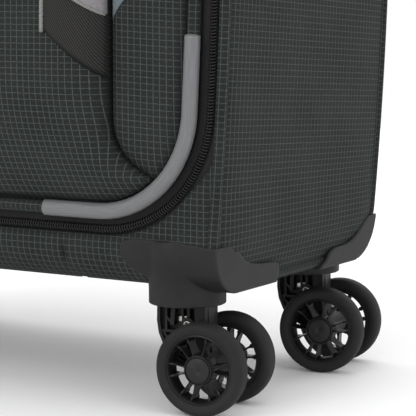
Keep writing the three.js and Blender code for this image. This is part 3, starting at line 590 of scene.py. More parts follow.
def ripstop():
    """Dark cloth with a thin pale grid of thicker threads."""
    m = Nodes("ripstop_cloth", (0.02, 0.023, 0.022), 0.82, sheen=0.02, gloss=0.12)
    place = m.cloth_place()
    u, v, _ = m.parts(place)
    mottle = m.noise(place, 0.9, 4)
    broad = m.noise(place, 0.035, 2)
    upright = m.lines(u, GRID_ACROSS, THREAD)
    level = m.math("MULTIPLY", m.lines(v, GRID_UP, THREAD), 0.8)
    grid = m.math("MAXIMUM", upright, level)
    thread = m.math("MULTIPLY", grid, m.span(mottle, 0.3, 0.7, 0.45, 1.0))
    plain = m.math("MULTIPLY", m.wave(u, 0.8), m.wave(v, 0.8))
    tone = m.math("ADD", m.span(broad, 0.3, 0.7, 0.0, 0.35), m.span(mottle, 0.35, 0.7, 0.0, 0.45))
    base = m.mix(tone, (0.0115, 0.0133, 0.0128), (0.0235, 0.0265, 0.0256))
    cloth = m.mix(thread, base, (0.072, 0.083, 0.08))
    # Painted shade: the cloth is mixed towards near-black where the seam and crease mask is high.
    shade = m.math("MULTIPLY", m.crease_shade(), 0.88, clamp=True)
    m.color(m.mix(shade, cloth, (0.002, 0.002, 0.002)))
    height = m.math("ADD", m.math("MULTIPLY", plain, 0.25), grid)
    m.bump(height, 0.12, 0.7)
    m.roughness(m.span(mottle, 0.2, 0.8, 0.72, 0.9))
    return m.material


def twill():
    m = Nodes("twill_cloth", (0.025, 0.024, 0.024), 0.8, sheen=0.02, gloss=0.12)
    place = m.cloth_place()
    u, v, _ = m.parts(place)
    slope = m.math("ADD", m.math("MULTIPLY", u, 0.87), m.math("MULTIPLY", v, 0.5))
    ribs = m.span(m.wave(slope, 1.05), -0.6, 0.9)
    mottle = m.noise(place, 1.2, 3)
    tone = m.math("MULTIPLY", ribs, m.span(mottle, 0.3, 0.7, 0.6, 1.0))
    cloth = m.mix(tone, (0.014, 0.0135, 0.013), (0.042, 0.041, 0.040))
    # Painted shade: the twill is mixed towards near-black where the seam and crease mask is high.
    shade = m.math("MULTIPLY", m.crease_shade(), 0.9, clamp=True)
    m.color(m.mix(shade, cloth, (0.002, 0.002, 0.002)))
    m.bump(ribs, 0.15, 0.6)
    return m.material


def woven(name, dark, light, pitch=0.7, roughness=0.75, sheen=0.03, depth=0.1):
    """Plain close-woven cloth or webbing."""
    m = Nodes(name, light, roughness, sheen=sheen, gloss=0.2)
    place = m.cloth_place()
    u, v, _ = m.parts(place)
    over = m.math("MULTIPLY", m.wave(u, pitch), m.wave(v, pitch))
    mottle = m.noise(place, 0.8, 4)
    share = m.math("ADD", m.span(over, -0.8, 0.8, 0.0, 0.6), m.span(mottle, 0.3, 0.7, 0.0, 0.4))
    m.color(m.mix(share, dark, light))
    m.bump(over, depth, 0.5)
    return m.material


def zip_tape():
    """Dark knitted tape with fine slanted ribs."""
    m = Nodes("zip_tape_cloth", (0.02, 0.02, 0.02), 0.85, sheen=0.02, gloss=0.12)
    place = m.cloth_place()
    u, v, _ = m.parts(place)
    ribs = m.wave(m.math("ADD", v, m.math("PINGPONG", u, 1.2)), 0.85)
    share = m.math("ADD", m.span(ribs, -0.8, 0.8, 0.0, 0.5), m.span(m.noise(place, 1.1, 3), 0.3, 0.7, 0.0, 0.5))
    m.color(m.mix(share, (0.011, 0.011, 0.0112), (0.026, 0.0255, 0.0255)))
    m.bump(ribs, 0.1, 0.5)
    return m.material


def corded():
    """Pale twisted cord."""
    m = Nodes("pale_cord", (0.3, 0.3, 0.29), 0.7, sheen=0.03, gloss=0.2)
    place = m.cloth_place()
    u, v, _ = m.parts(place)
    twist = m.wave(m.math("ADD", m.math("MULTIPLY", u, 0.8), v), 1.1)
    share = m.math("ADD", m.span(twist, -0.9, 0.7, 0.0, 0.7), m.span(m.noise(place, 1.5, 3), 0.3, 0.7, 0.0, 0.3))
    m.color(m.mix(share, (0.11, 0.11, 0.105), (0.36, 0.36, 0.35)))
    m.bump(twist, 0.25, 0.8)
    return m.material


def plastic(name, dark, light, roughness, grain=1.6, depth=0.06, lighter_edges=0.0):
    """Moulded plastic with a fine spark-eroded grain, its colour made lighter along sharp outer edges."""
    m = Nodes(name, light, roughness, gloss=0.2)
    place = m.own_place()
    fine = m.noise(place, grain, 5, 0.62)
    broad = m.noise(place, 0.06, 3)
    share = m.math("ADD", m.span(broad, 0.3, 0.7, 0.0, 0.5), m.span(fine, 0.35, 0.65, 0.0, 0.5))
    tone = m.mix(share, dark, light)
    if lighter_edges:
        # Lighter colour along sharp convex edges, found from the surface's pointiness.
        edge = m.node("ShaderNodeNewGeometry").outputs["Pointiness"]
        paler_edge = m.math("MULTIPLY", m.span(edge, 0.51, 0.58), lighter_edges)
        tone = m.mix(paler_edge, tone, tuple(min(1, c * 2.4) for c in light))
    m.color(tone)
    m.bump(fine, depth, 0.5)
    m.roughness(m.span(fine, 0.3, 0.7, roughness - 0.06, roughness + 0.08))
    return m.material


def metal(name, color, roughness, direction=2):
    """Drawn or plated metal with faint lines along one direction."""
    m = Nodes(name, color, roughness, metallic=1.0)
    place = m.own_place()
    stretch = [9.0, 9.0, 9.0]
    stretch[direction] = 0.15
    lined = m.node("ShaderNodeVectorMath", {0: place, 1: stretch}, operation="MULTIPLY").outputs[0]
    brush = m.noise(lined, 0.5, 3)
    m.color(m.mix(m.span(brush, 0.3, 0.7), tuple(c * 0.82 for c in color), color))
    m.roughness(m.span(brush, 0.3, 0.7, roughness - 0.05, roughness + 0.08))
    m.bump(brush, 0.02, 0.3)
    return m.material


def satin_guard():
    """Smooth satin piping sleeve with faint lines drawn along it."""
    m = Nodes("satin_sleeve", (0.19, 0.193, 0.198), 0.36)
    place = m.cloth_place()
    u, v, _ = m.parts(place)
    drawn = m.node("ShaderNodeCombineXYZ", {0: m.math("MULTIPLY", u, 3.0), 1: m.math("MULTIPLY", v, 0.08)})
    streak = m.noise(drawn.outputs[0], 1.0, 3)
    grain = m.noise(place, 4.0, 2)
    share = m.math("ADD", m.span(streak, 0.3, 0.7, 0.0, 0.7), m.span(grain, 0.3, 0.7, 0.0, 0.3))
    m.color(m.mix(share, (0.105, 0.107, 0.111), (0.16, 0.162, 0.167)))
    m.roughness(m.span(streak, 0.3, 0.7, 0.34, 0.46))
    m.bump(grain, 0.02, 0.4)
    return m.material


RIPSTOP = ripstop()
TWILL = twill()
LINING = woven("lining_cloth", (0.035, 0.037, 0.04), (0.075, 0.078, 0.083), 0.9, 0.6, 0.1)
WEBBING = woven("webbing", (0.008, 0.008, 0.009), (0.03, 0.031, 0.032), 1.5, 0.7, 0.03, 0.25)
PALE_CLOTH = woven("pale_panel_cloth", (0.17, 0.16, 0.17), (0.26, 0.245, 0.262), 0.8, 0.6)
BLUE_CLOTH = woven("blue_grey_cloth", (0.075, 0.095, 0.107), (0.16, 0.195, 0.215), 1.2, 0.7, 0.03, 0.2)
TAPE = zip_tape()
CORD = corded()
GUARD = satin_guard()
COIL = plastic("nylon_coil", (0.006, 0.006, 0.0065), (0.014, 0.014, 0.015), 0.3, 2.0, 0.02)
THREAD_DARK = plastic("dark_thread", (0.012, 0.013, 0.013), (0.03, 0.032, 0.031), 0.6, 3.0, 0.05)
HOUSING = plastic("housing_plastic", (0.0105, 0.0105, 0.0108), (0.0175, 0.0175, 0.0178), 0.5, 2.2, 0.07, lighter_edges=0.25)
DARK_PLASTIC = plastic("dark_plastic", (0.0075, 0.0075, 0.0078), (0.0135, 0.0135, 0.0138), 0.46, 1.8, 0.05, lighter_edges=0.2)
HUB = plastic("hub_plastic", (0.0065, 0.0065, 0.0067), (0.0115, 0.0115, 0.0118), 0.36, 1.5, 0.03, lighter_edges=0.35)
TREAD = plastic("tread_rubber", (0.0115, 0.0114, 0.0112), (0.0205, 0.0202, 0.0199), 0.72, 1.2, 0.08)
GREY_PLASTIC = plastic("grey_plastic", (0.13, 0.132, 0.136), (0.18, 0.182, 0.187), 0.42, 1.5, 0.03)
STEEL = metal("plated_steel", (0.52, 0.5, 0.47), 0.3, 1)
DARK_STEEL = metal("blackened_steel", (0.11, 0.11, 0.115), 0.34, 0)
ALUMINIUM = metal("satin_aluminium", (0.5, 0.505, 0.515), 0.33, 2)


# ---------- Stage ----------

VIEW_DEGREES = 31  # the camera stands this far round to the right of the front
DOWN_DEGREES = 6.78
LENS = 160.1


def add_camera():
    pin_low, pin_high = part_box("front_right_swivel_pin")
    turn, pitch = math.radians(VIEW_DEGREES), math.radians(DOWN_DEGREES)
    across = Vector((math.cos(turn), math.sin(turn), 0))
    ahead = Vector((-math.sin(turn), math.cos(turn), 0))
    stand = Vector(((pin_low.x + pin_high.x) / 2, (pin_low.y + pin_high.y) / 2, 0))
    camera = bpy.data.objects.new("camera", bpy.data.cameras.new("camera"))
    camera.data.lens = LENS
    camera.data.clip_end = 100
    camera.location = stand + across * 0.01091 - ahead * 0.9782 + Z_AXIS * 0.2236
    look = ahead * math.cos(pitch) - Z_AXIS * math.sin(pitch)
    camera.rotation_euler = look.to_track_quat("-Z", "Y").to_euler()
    bpy.context.scene.collection.objects.link(camera)
    bpy.context.scene.camera = camera


def add_softbox(name, place, target, size, power):
    lamp = bpy.data.objects.new(name, bpy.data.lights.new(name, "AREA"))
    lamp.data.shape = "SQUARE"
    lamp.data.size = size
    lamp.data.energy = power
    lamp.location = place
    lamp.rotation_euler = (Vector(target) - Vector(place)).to_track_quat("-Z", "Y").to_euler()
    bpy.context.scene.collection.objects.link(lamp)


FLOOR_RADIUS = 1.9


def add_stage():
    """A pale floor, an even white surround and four soft lamps."""
    ring = FLOOR_RADIUS * np.stack([np.cos(np.arange(64) * np.pi / 32), np.sin(np.arange(64) * np.pi / 32)], 1)
    mesh = bpy.data.meshes.new("floor")
    mesh.from_pydata([(x, y, 0) for x, y in ring], [], [list(range(64))])
    paper = Nodes("pale_floor", (0.9, 0.9, 0.9), 0.9)
    speck = paper.noise(paper.own_place(), 0.004, 3)
    paper.color(paper.mix(speck, (0.88, 0.88, 0.88), (0.92, 0.92, 0.92)))
    mesh.materials.append(paper.material)
    floor = bpy.data.objects.new("floor", mesh)
    bpy.context.scene.collection.objects.link(floor)
    world = bpy.data.worlds.new("studio")
    world.use_nodes = True
    world.node_tree.nodes["Background"].inputs[0].default_value = (1, 1, 1, 1)
    world.node_tree.nodes["Background"].inputs[1].default_value = 1.0
    bpy.context.scene.world = world
    bpy.context.scene.view_settings.view_transform = "Standard"
    add_softbox("key", (-0.5, -2.4, 1.7), (0, 0, 0.2), 1.5, 22)
    add_softbox("fill", (2.4, -0.9, 1.0), (0, 0, 0.2), 1.4, 8)
    add_softbox("top", (0.2, 0.2, 2.6), (0, 0, 0), 1.8, 20)
    add_softbox("behind", (-0.8, 2.6, 1.5), (0, 0, 0.25), 1.5, 10)


add_camera()
add_stage()


# ---------- Cloth over the boards ----------

INSIDE = (0, DEPTH / 2, MIDDLE)
CLOTH = 1.4  # cloth and its foam backing
BOTTOM_SEAM_X = 90


def sheet_piece(name, points, weave, node, crease_shade=None, materials=(RIPSTOP, LINING), body="root"):
    """A grid of points as lined cloth that stands for a CAD board."""
    rows, cols = points.shape[:2]
    faces = grid_faces(rows, cols)
    made = piece(name, points, faces, body, "fabric_shell", list(materials), weave, crease_shade, replaces=node)
    face_away_from(made, INSIDE)
    return thicken(made, CLOTH, lined=True)


def side_cloth(hand, side):
    """A bowed side, padded so that it swells a little between its seams and slumps at its foot."""
    z = LOW + (HIGH - LOW) * (1 - np.cos(np.pi * np.linspace(0.02, 0.98, 120))) / 2
    low_gap, high_gap = LOW + FRONT_ROLL, HIGH - TOP_ROLL

    def cut_in(radius, limit, below):
        over = np.clip((limit - z) if below else (z - limit), 0, radius)
        return radius - np.sqrt(radius**2 - over**2)

    front = cut_in(FRONT_ROLL, low_gap, True) + cut_in(TOP_ROLL, high_gap, False) + 1.0
    rear = DEPTH - cut_in(BACK_ROLL, LOW + BACK_ROLL, True) - cut_in(TOP_ROLL, high_gap, False) - 1.0
    share = (1 - np.cos(np.pi * np.linspace(0, 1, 60))) / 2
    y = front[:, None] + (rear - front)[:, None] * share
    zz = np.broadcast_to(z[:, None], y.shape)
    near = np.minimum(y - front[:, None], rear[:, None] - y)
    edge = np.minimum(near, np.minimum(zz - LOW, HIGH - zz))
    swell = 2.6 * ease(edge / 20) + 1.5 * np.exp(-(((zz - LOW - 24) / 16) ** 2)) * ease(near / 30)
    ripple = 0.5 * np.sin(y / 27 + zz / 71) * np.sin(zz / 47 - y / 83) * ease(edge / 30)
    x = side * (side_x(zz) - 1.0 + swell + ripple)
    slump = 0.055 * (y - DEPTH / 2) * smoothstep((zz - LOW - 12) / 70)
    weave = np.stack([y, zz + slump], -1)
    # Painted shade, darkest at the cloth's edges.
    crease_shade = np.exp(-edge / 1.3)
    sheet_piece(f"{hand}_side_cloth", np.stack([x, y, zz], -1), weave, [f"{hand}_side_panel"], crease_shade)


def wrap_cloth(name, node, start, stop, channels=False):
    """Cloth over a stretch of the body's outline, from one side to the other."""
    line = resampled(np.vstack([body_outline(), body_outline()[:1]]), 3.0)
    along = np.concatenate([[0], np.cumsum(np.linalg.norm(np.diff(line, axis=0), axis=1))])
    first = np.argmin(np.linalg.norm(line - start, axis=1))
    last = np.argmin(np.linalg.norm(line - stop, axis=1))
    run, length = line[first : last + 1], along[first : last + 1]
    ahead = np.gradient(run, axis=0)
    ahead /= np.linalg.norm(ahead, axis=1)[:, None]
    out = np.stack([ahead[:, 1], -ahead[:, 0]], 1)
    share = (1 - np.cos(np.pi * np.linspace(0, 1, 90))) / 2 * 2 - 1
    x = share[None, :] * (side_x(run[:, 1]) - 1.2)[:, None]
    edge_x = side_x(run[:, 1])[:, None] - 1.2 - np.abs(x)
    edge_run = np.minimum(length - length[0], length[-1] - length)[:, None]
    lift = -0.6 + 2.2 * ease(edge_x / 18) * ease(edge_run / 14)
    if channels:
        tube_low, tube_high = local("outer_tube_right")
        middle, half = (tube_low[0] + tube_high[0]) / 2, (tube_high[0] - tube_low[0]) / 2 + 2
        ridge = smoothstep((half + 5 - np.abs(np.abs(x) - middle)) / 6)
        lift = lift + 2.2 * ridge * smoothstep(edge_run / 25)
    points = np.concatenate([x[..., None], run[:, None, :] + lift[..., None] * out[:, None, :]], -1)
    weave = np.stack(np.broadcast_arrays(x, length[:, None]), -1)
    # Painted shade, darkest at the cloth's edges.
    crease_shade = np.exp(-np.minimum(edge_x, edge_run) / 1.3)
    sheet_piece(name, points, weave, [node], crease_shade)


def front_rim_cloth():
    """The band round the lid, rolled under the body at the foot and over it at the top."""
    flat_low = LOW + FRONT_ROLL - FRONT_ROLL * np.pi / 2
    flat_high = HIGH - TOP_ROLL + TOP_ROLL * np.pi / 2
    loop = coil_loop(0, 2.6)
    ahead = np.roll(loop, -1, 0) - np.roll(loop, 1, 0)
    ahead /= np.linalg.norm(ahead, axis=1)[:, None]
    out = np.stack([ahead[:, 1], -ahead[:, 0]], 1)
    # The tape shows wider at the two lower corners, where the band is cut straighter than the zip.
    turned = np.degrees(np.arctan2(np.abs(loop[:, 0]) - CORNER_X, loop[:, 1] - CORNER_Z))
    lower = (np.abs(loop[:, 0]) > CORNER_X) & (loop[:, 1] < CORNER_Z + 40)
    start = 2.6 + 4.0 * smoothstep((132 - turned) / 24) * lower
    begin = loop + out * start[:, None]
    reach = np.full(len(loop), 1e3)
    limit_z = np.where(out[:, 1] < 0, flat_low, flat_high)
    for _ in range(4):
        edge = side_x(np.clip(begin[:, 1] + out[:, 1] * np.minimum(reach, 200), LOW, HIGH)) - 1.4
        with np.errstate(divide="ignore", invalid="ignore"):
            sideways = (edge * np.sign(out[:, 0]) - begin[:, 0]) / out[:, 0]
            to_side = np.where(np.abs(out[:, 0]) > 1e-6, sideways, 1e3)
            to_level = np.where(np.abs(out[:, 1]) > 1e-6, (limit_z - begin[:, 1]) / out[:, 1], 1e3)
        reach = np.minimum(to_side, to_level).clip(0.4)
    share = np.linspace(0, 1, 26)
    flat = begin[:, None] + out[:, None] * reach[:, None, None] * share[None, :, None]
    x, z = flat[..., 0], flat[..., 1]
    inner = share * reach[:, None]
    outer = reach[:, None] - inner
    lift = 0.2 + 1.7 * ease(np.minimum(inner / 9, 1)) * ease(np.minimum(outer / 9, 1))
    seam = np.abs(np.abs(x) - BOTTOM_SEAM_X - 0.12 * (COIL_LOW - z))
    below = smoothstep((COIL_LOW - 1 - z) / 4)
    foot_seam = np.abs(z - (LOW + FRONT_ROLL - 25))
    groove = np.exp(-((seam / 0.9) ** 2)) * below
    lift = lift - 1.0 * groove - 0.8 * np.exp(-((foot_seam / 1.1) ** 2))
    points = fold(x, z, lift)
    # Painted shade at the band's edges, in its side seams and in its foot seam.
    crease_shade = np.maximum(np.exp(-np.minimum(inner, outer) / 1.2), 0.85 * np.exp(-((seam / 0.55) ** 2)) * below)
    crease_shade = np.maximum(crease_shade, 0.7 * np.exp(-((foot_seam / 0.5) ** 2)))
    rows, cols = x.shape
    made = piece(
        "front_rim_cloth",
        points,
        grid_faces(rows, cols, wrap_rows=True),
        "root",
        "fabric_shell",
        [RIPSTOP, LINING],
        np.stack([x, z], -1),
        crease_shade,
        replaces=["front_rim"],
    )
    face_away_from(made, INSIDE)
    thicken(made, CLOTH, lined=True)


def edge_pipings():
    """Cloth-covered piping round the outline of each side."""
    outline = resampled(body_outline(-0.6), 3.0, closed=True)
    for hand, side in zip(HANDS, (1, -1)):
        x = side * (side_x(outline[:, 1]) - 0.9)
        path = np.column_stack([x, outline])
        points, faces, weave = tube(path, 3.0, 14, closed=True, across=(1, 0, 0))
        piece(f"{hand}_edge_piping", points, faces, "root", "fabric_shell", RIPSTOP, weave)


def build_body_cloth():
    for hand, side in zip(HANDS, (1, -1)):
        side_cloth(hand, side)
    wrap_cloth("bottom_cloth", "bottom_panel", (FRONT_ROLL, LOW), (DEPTH, LOW + BACK_ROLL))
    wrap_cloth("back_cloth", "back_panel", (DEPTH, LOW + BACK_ROLL), (DEPTH, HIGH - TOP_ROLL), channels=True)
    wrap_cloth("top_cloth", "top_panel", (DEPTH, HIGH - TOP_ROLL), (TOP_ROLL, HIGH))
    front_rim_cloth()
    edge_pipings()


# ---------- Main zip ----------

TOOTH_PITCH = 1.62


def hinge_free(loop):
    """The part of a loop that the zip follows: all but the stretch beside the fabric hinge."""
    keep = ~((loop[:, 0] < 0) & (loop[:, 1] > CORNER_Z) & (loop[:, 1] < COIL_LOW + COIL_HIGH - CORNER_Z))
    start = np.flatnonzero(keep & ~np.roll(keep, 1))[0]
    return np.roll(loop, -start, axis=0)[: keep.sum()]


def teeth(name, path, inward, side, body, y=-0.9, reach=2.3, replaces=()):
    """One half of a coil zip: a slanted loop of nylon for each tooth, clasping the middle."""
    ring = 2 * np.pi * np.arange(6) / 6
    ahead = np.gradient(path, axis=0)
    ahead /= np.linalg.norm(ahead, axis=1)[:, None]
    shapes = []
    for centre, t, n in zip(path, ahead, inward * side):
        spine = []
        for share, rise in ((-0.18, 0.5), (0.15, 0.75), (0.6, 0.55), (1.0, -0.35)):
            flat = centre + n * reach * share + t * (0.75 * share)
            spine.append([flat[0], y - rise, flat[1]])
        spine = np.array(spine)
        step = np.array([n[0] + 0.33 * t[0], 0, n[1] + 0.33 * t[1]])
        step /= np.linalg.norm(step)
        other = np.cross(step, [0, 1, 0])
        size = 0.5 * np.array([0.75, 1.05, 1.0, 0.8])
        hoops = spine[:, None] + size[:, None, None] * (
            np.cos(ring)[None, :, None] * other + np.sin(ring)[None, :, None] * np.array([0, 1.0, 0])
        )
        ends = [list(range(6))[::-1], list(range(18, 24))]
        shapes.append((hoops.reshape(-1, 3), [list(f) for f in grid_faces(4, 6, wrap_cols=True)] + ends))
    points, faces = joined(*shapes)
    made = piece(name, points, faces, body, "zipper", COIL, replaces=replaces)
    outward(made.data)
    return made


def tape(name, line, inward, near, far, body, y=-0.35, replaces=()):
    """A flat strip of zip tape beside a line, from near to far across it."""
    near, far = np.broadcast_to(near, len(line)), np.broadcast_to(far, len(line))
    share = np.linspace(0, 1, 5)
    width = near[:, None] + (far - near)[:, None] * share
    flat = line[:, None] + inward[:, None] * width[..., None]
    along = np.concatenate([[0], np.cumsum(np.linalg.norm(np.diff(line, axis=0), axis=1))])
    dip = 0.25 * np.sin(np.pi * share)
    points = np.stack([flat[..., 0], np.broadcast_to(y + dip, flat.shape[:2]), flat[..., 1]], -1)
    weave = np.stack(np.broadcast_arrays(width, along[:, None]), -1)
    made = piece(name, points, grid_faces(*flat.shape[:2]), body, "zipper", TAPE, weave, replaces=replaces)
    face_away_from(made, INSIDE)
    return thicken(made, 0.7)


def build_main_zip():
    line = hinge_free(coil_loop(0, TOOTH_PITCH))
    ahead = np.gradient(line, axis=0)
    ahead /= np.linalg.norm(ahead, axis=1)[:, None]
    inward = np.stack([-ahead[:, 1], ahead[:, 0]], 1)
    teeth("main_zip_teeth_body", line, inward, -1, "root", replaces=["main_zipper_coil"])
    teeth("main_zip_teeth_lid", line, inward, 1, "lid")
    coarse = hinge_free(coil_loop(0, 3.2))
    step = np.gradient(coarse, axis=0)
    step /= np.linalg.norm(step, axis=1)[:, None]
    normal = np.stack([-step[:, 1], step[:, 0]], 1)
    at_side = np.abs(coarse[:, 0]) > CORNER_X + 40
    tape("main_zip_tape_lid", coarse, normal, 0.5, 7.4, "lid", y=LID_FACE + 0.5)
    tape("main_zip_tape_body", coarse, normal, -0.5, np.where(at_side, -8.0, -7.0), "root", y=0.15)


# ---------- Lid ----------


def seam_x(z):
    """Half width of the lower pocket at a height: round its toe, then up its side seam."""
    centre = CORNER_Z
    toe = arc(CORNER_X, centre, COIL_CORNER - 15, 270, 312, 12)
    end, turn = toe[-1], POCKET_LOW + 44
    t = np.linspace(0, 1, 12)[1:, None]
    knee = np.array([SEAM_HALF, end[1] + (turn - end[1]) / 3])
    bend = (1 - t) ** 2 * end + 2 * t * (1 - t) * knee + t**2 * np.array([SEAM_HALF, turn])
    line = np.vstack([toe, bend, [[SEAM_HALF, POCKET_HIGH]]])
    return np.interp(z, line[:, 1], line[:, 0])


POCKET_SWELL = 18.5


def pocket_rise(x, z):
    """How far the lower pocket stands out: full in its belly, drawn in at its seams."""
    width = seam_x(z)
    rise = ease((z - POCKET_LOW) / 68) * ease((POCKET_HIGH - z) / 20) * ease((width - np.abs(x)) / 25)
    belly = 1.4 * np.exp(-(((z - POCKET_LOW - 70) / 50) ** 2)) - 1.5 * smoothstep((z - MIDDLE) / 60)
    dimple = 0.7 * np.sin(x / 31 + 0.4) * np.sin(z / 37)
    return rise * (POCKET_SWELL + belly + dimple)


def pocket_weave(x, z):
    """The cloth's threads on the pocket, drawn out towards its lower corners."""
    drawn = 9.0 * smoothstep((POCKET_LOW + 70 - z) / 75) ** 1.4
    return x - drawn * np.tanh(x / 42), z - 0.03 * np.abs(x) * smoothstep((POCKET_LOW + 60 - z) / 60)


def lid_rise(x, z):
    """The lid's own cloth, which puffs up a little between the piping and the pockets."""
    inner = np.clip(zip_inset(x, z) - PIPE_OFFSET - 3, 0, None)
    zz = np.linspace(POCKET_LOW, POCKET_HIGH, 60)
    seam = np.column_stack([seam_x(zz), zz])
    lower = distance_to(np.abs(x), z, seam)
    in_height = (z > POCKET_LOW) & (z < POCKET_HIGH)
    inside_lower = (np.abs(x) < seam_x(np.clip(z, POCKET_LOW, POCKET_HIGH))) & in_height
    upper = np.maximum(np.abs(x) - UPPER_HALF, np.maximum(UPPER_LOW - z, z - UPPER_HIGH))
    puff = (1 - np.exp(-inner / 5)) * (1 - np.exp(-lower / 2.6))
    puff = puff * (1 - np.exp(-np.clip(upper, 0, None) / 4))
    zips = np.maximum(
        (z > POCKET_HIGH - 2) & (z < UPPER_LOW + 2) & (np.abs(x) < UPPER_HALF),
        (z > UPPER_HIGH - 2) & (z < UPPER_HIGH + 14) & (np.abs(x) < UPPER_HALF),
    )
    puff = np.where(inside_lower | (upper < 0) | zips, 0, puff)
    # The second value is a painted-shade mask beside the lower pocket's seam.
    return 0.5 + 6.0 * puff, np.where(inside_lower, 0, np.exp(-lower / 0.9))


def lid_cloth():
    step = 2.4
    xs = np.arange(-192, 192 + step, step)
    zs = np.arange(COIL_LOW, COIL_HIGH + step, step)
    x, z = np.meshgrid(xs, zs)
    rise, near_seam = lid_rise(x, z)
    inside = zip_inset(x, z)
    kept = np.array([f for f in grid_faces(*x.shape) if (inside.ravel()[f] > 7.6).all()])
    used = np.unique(kept)
    number = np.full(x.size, -1)
    number[used] = np.arange(len(used))
    points = np.stack([x, LID_FACE - rise, z], -1).reshape(-1, 3)[used]
    weave = np.stack([x, z + 0.05 * (np.abs(x) - 140)], -1).reshape(-1, 2)[used]
    # Painted shade beside the lower pocket's seam and inside the piping.
    crease_shade = np.maximum(near_seam, np.exp(-np.clip(inside - PIPE_OFFSET - 4, 0, None) / 1.6)).ravel()[used]
    made = piece(
        "lid_cloth",
        points,
        number[kept],
        "lid",
        "fabric_shell",
        [RIPSTOP, LINING],
        weave,
        crease_shade,
        replaces=["lid_panel"],
    )
    face_away_from(made, INSIDE)
    thicken(made, 2.2, lined=True)
    even = made.modifiers.new("even", "SUBSURF")
    even.levels = even.render_levels = 1


def lid_lining():
    """The back of the lid: smooth lining that swells a little towards its middle."""
    loop = coil_loop(6, 5.0)
    rings = []
    for share in (1.0, 0.985, 0.7, 0.4, 0.12):
        swell = 2.2 * (1 - share) ** 0.5
        flat = loop * share + [0, MIDDLE * (1 - share)]
        rings.append(np.column_stack([flat[:, 0], np.full(len(flat), 1.6 + swell), flat[:, 1]]))
    points = np.array(rings)
    weave = points[..., [0, 2]]
    faces = [list(f) for f in grid_faces(len(rings), len(loop), wrap_cols=True)]
    faces.append([(len(rings) - 1) * len(loop) + i for i in range(len(loop))])
    made = piece("lid_lining", points, faces, "lid", "lining_fabric", LINING, weave)
    face_away_from(made, (0, -200, MIDDLE))
    thicken(made, 1.0)


def lower_pocket_cloth():
    z = POCKET_LOW + (POCKET_HIGH - POCKET_LOW) * (1 - np.cos(np.pi * np.linspace(0, 1, 110))) / 2
    share = np.sin(np.pi / 2 * np.linspace(-1, 1, 120))
    x = share[None, :] * seam_x(z)[:, None]
    zz = np.broadcast_to(z[:, None], x.shape)
    points = np.stack([x, LID_FACE - 0.4 - pocket_rise(x, zz), zz], -1)
    edge = np.minimum(np.minimum(zz - POCKET_LOW, POCKET_HIGH - zz), seam_x(zz) - np.abs(x))
    made = piece(
        "lower_pocket_cloth",
        points,
        grid_faces(*x.shape),
        "lid",
        "fabric_shell",
        [RIPSTOP, LINING],
        np.stack(pocket_weave(x, zz), -1),
        # Painted shade towards the pocket's edges.
        np.exp(-edge / 1.1),
        replaces=["lower_pocket"],
    )
    face_away_from(made, INSIDE)
    thicken(made, CLOTH, lined=True)


def upper_rise(x, z):
    half_z = (UPPER_HIGH - UPPER_LOW) / 2
    middle = (UPPER_HIGH + UPPER_LOW) / 2
    edge = np.minimum(UPPER_HALF - np.abs(x), half_z - np.abs(z - middle))
    corner = 12.0
    px, pz = np.abs(x) - UPPER_HALF + corner, np.abs(z - middle) - half_z + corner
    round_edge = corner - np.hypot(px, pz)
    edge = np.where((px > 0) & (pz > 0), round_edge, edge)
    return edge, ease(edge / 18) * (8.5 + 0.6 * np.sin(x / 29) * np.sin(z / 23))


def upper_pocket_cloth():
    middle, half_z, corner = (UPPER_HIGH + UPPER_LOW) / 2, (UPPER_HIGH - UPPER_LOW) / 2, 12.0
    z = middle + half_z * np.sin(np.pi / 2 * np.linspace(-1, 1, 60))
    over = np.clip(np.abs(z - middle) - half_z + corner, 0, corner)
    width = UPPER_HALF - corner + np.sqrt(corner**2 - over**2)
    x = np.sin(np.pi / 2 * np.linspace(-1, 1, 110))[None, :] * width[:, None]
    zz = np.broadcast_to(z[:, None], x.shape)
    edge, rise = upper_rise(x, zz)
    points = np.stack([x, LID_FACE - 0.4 - rise, zz], -1)
    made = piece(
        "upper_pocket_cloth",
        points,
        grid_faces(*x.shape),
        "lid",
        "fabric_shell",
        [RIPSTOP, LINING],
        np.stack([x, zz], -1),
        # Painted shade towards the pocket's edges.
        np.exp(-np.clip(edge, 0, None) / 1.1),
        replaces=["upper_pocket"],
    )
    face_away_from(made, INSIDE)
    thicken(made, CLOTH, lined=True)


def lid_pipings():
    loop = coil_loop(PIPE_OFFSET, 3.0)
    path = np.column_stack([loop[:, 0], np.full(len(loop), LID_FACE - 2.9), loop[:, 1]])
    points, faces, weave = tube(path, 3.3, 14, closed=True)
    piece("lid_piping", points, faces, "lid", "fabric_shell", RIPSTOP, weave)
    low, high = local("lid_guard_right")
    middle_y = (low[1] + high[1]) / 2
    inner = coil_loop(PIPE_OFFSET, 1.5)
    for hand, side in zip(HANDS, (1, -1)):
        run = inner[(inner[:, 0] > low[0] + 1.4) & (inner[:, 1] < high[2] + 2.5)]
        run = run[np.argsort(np.arctan2(run[:, 1] - CORNER_Z, run[:, 0] - CORNER_X))]
        path = np.column_stack([side * run[:, 0], np.full(len(run), middle_y), run[:, 1]])
        points, faces, weave = tube(path, 4.35, 20, flat=0.86)
        made = piece(
            f"lid_guard_{hand}_sleeve",
            points,
            faces,
            "lid",
            "guard_plastic",
            GUARD,
            weave,
            replaces=[f"lid_guard_{hand}"],
        )
        outward(made.data)


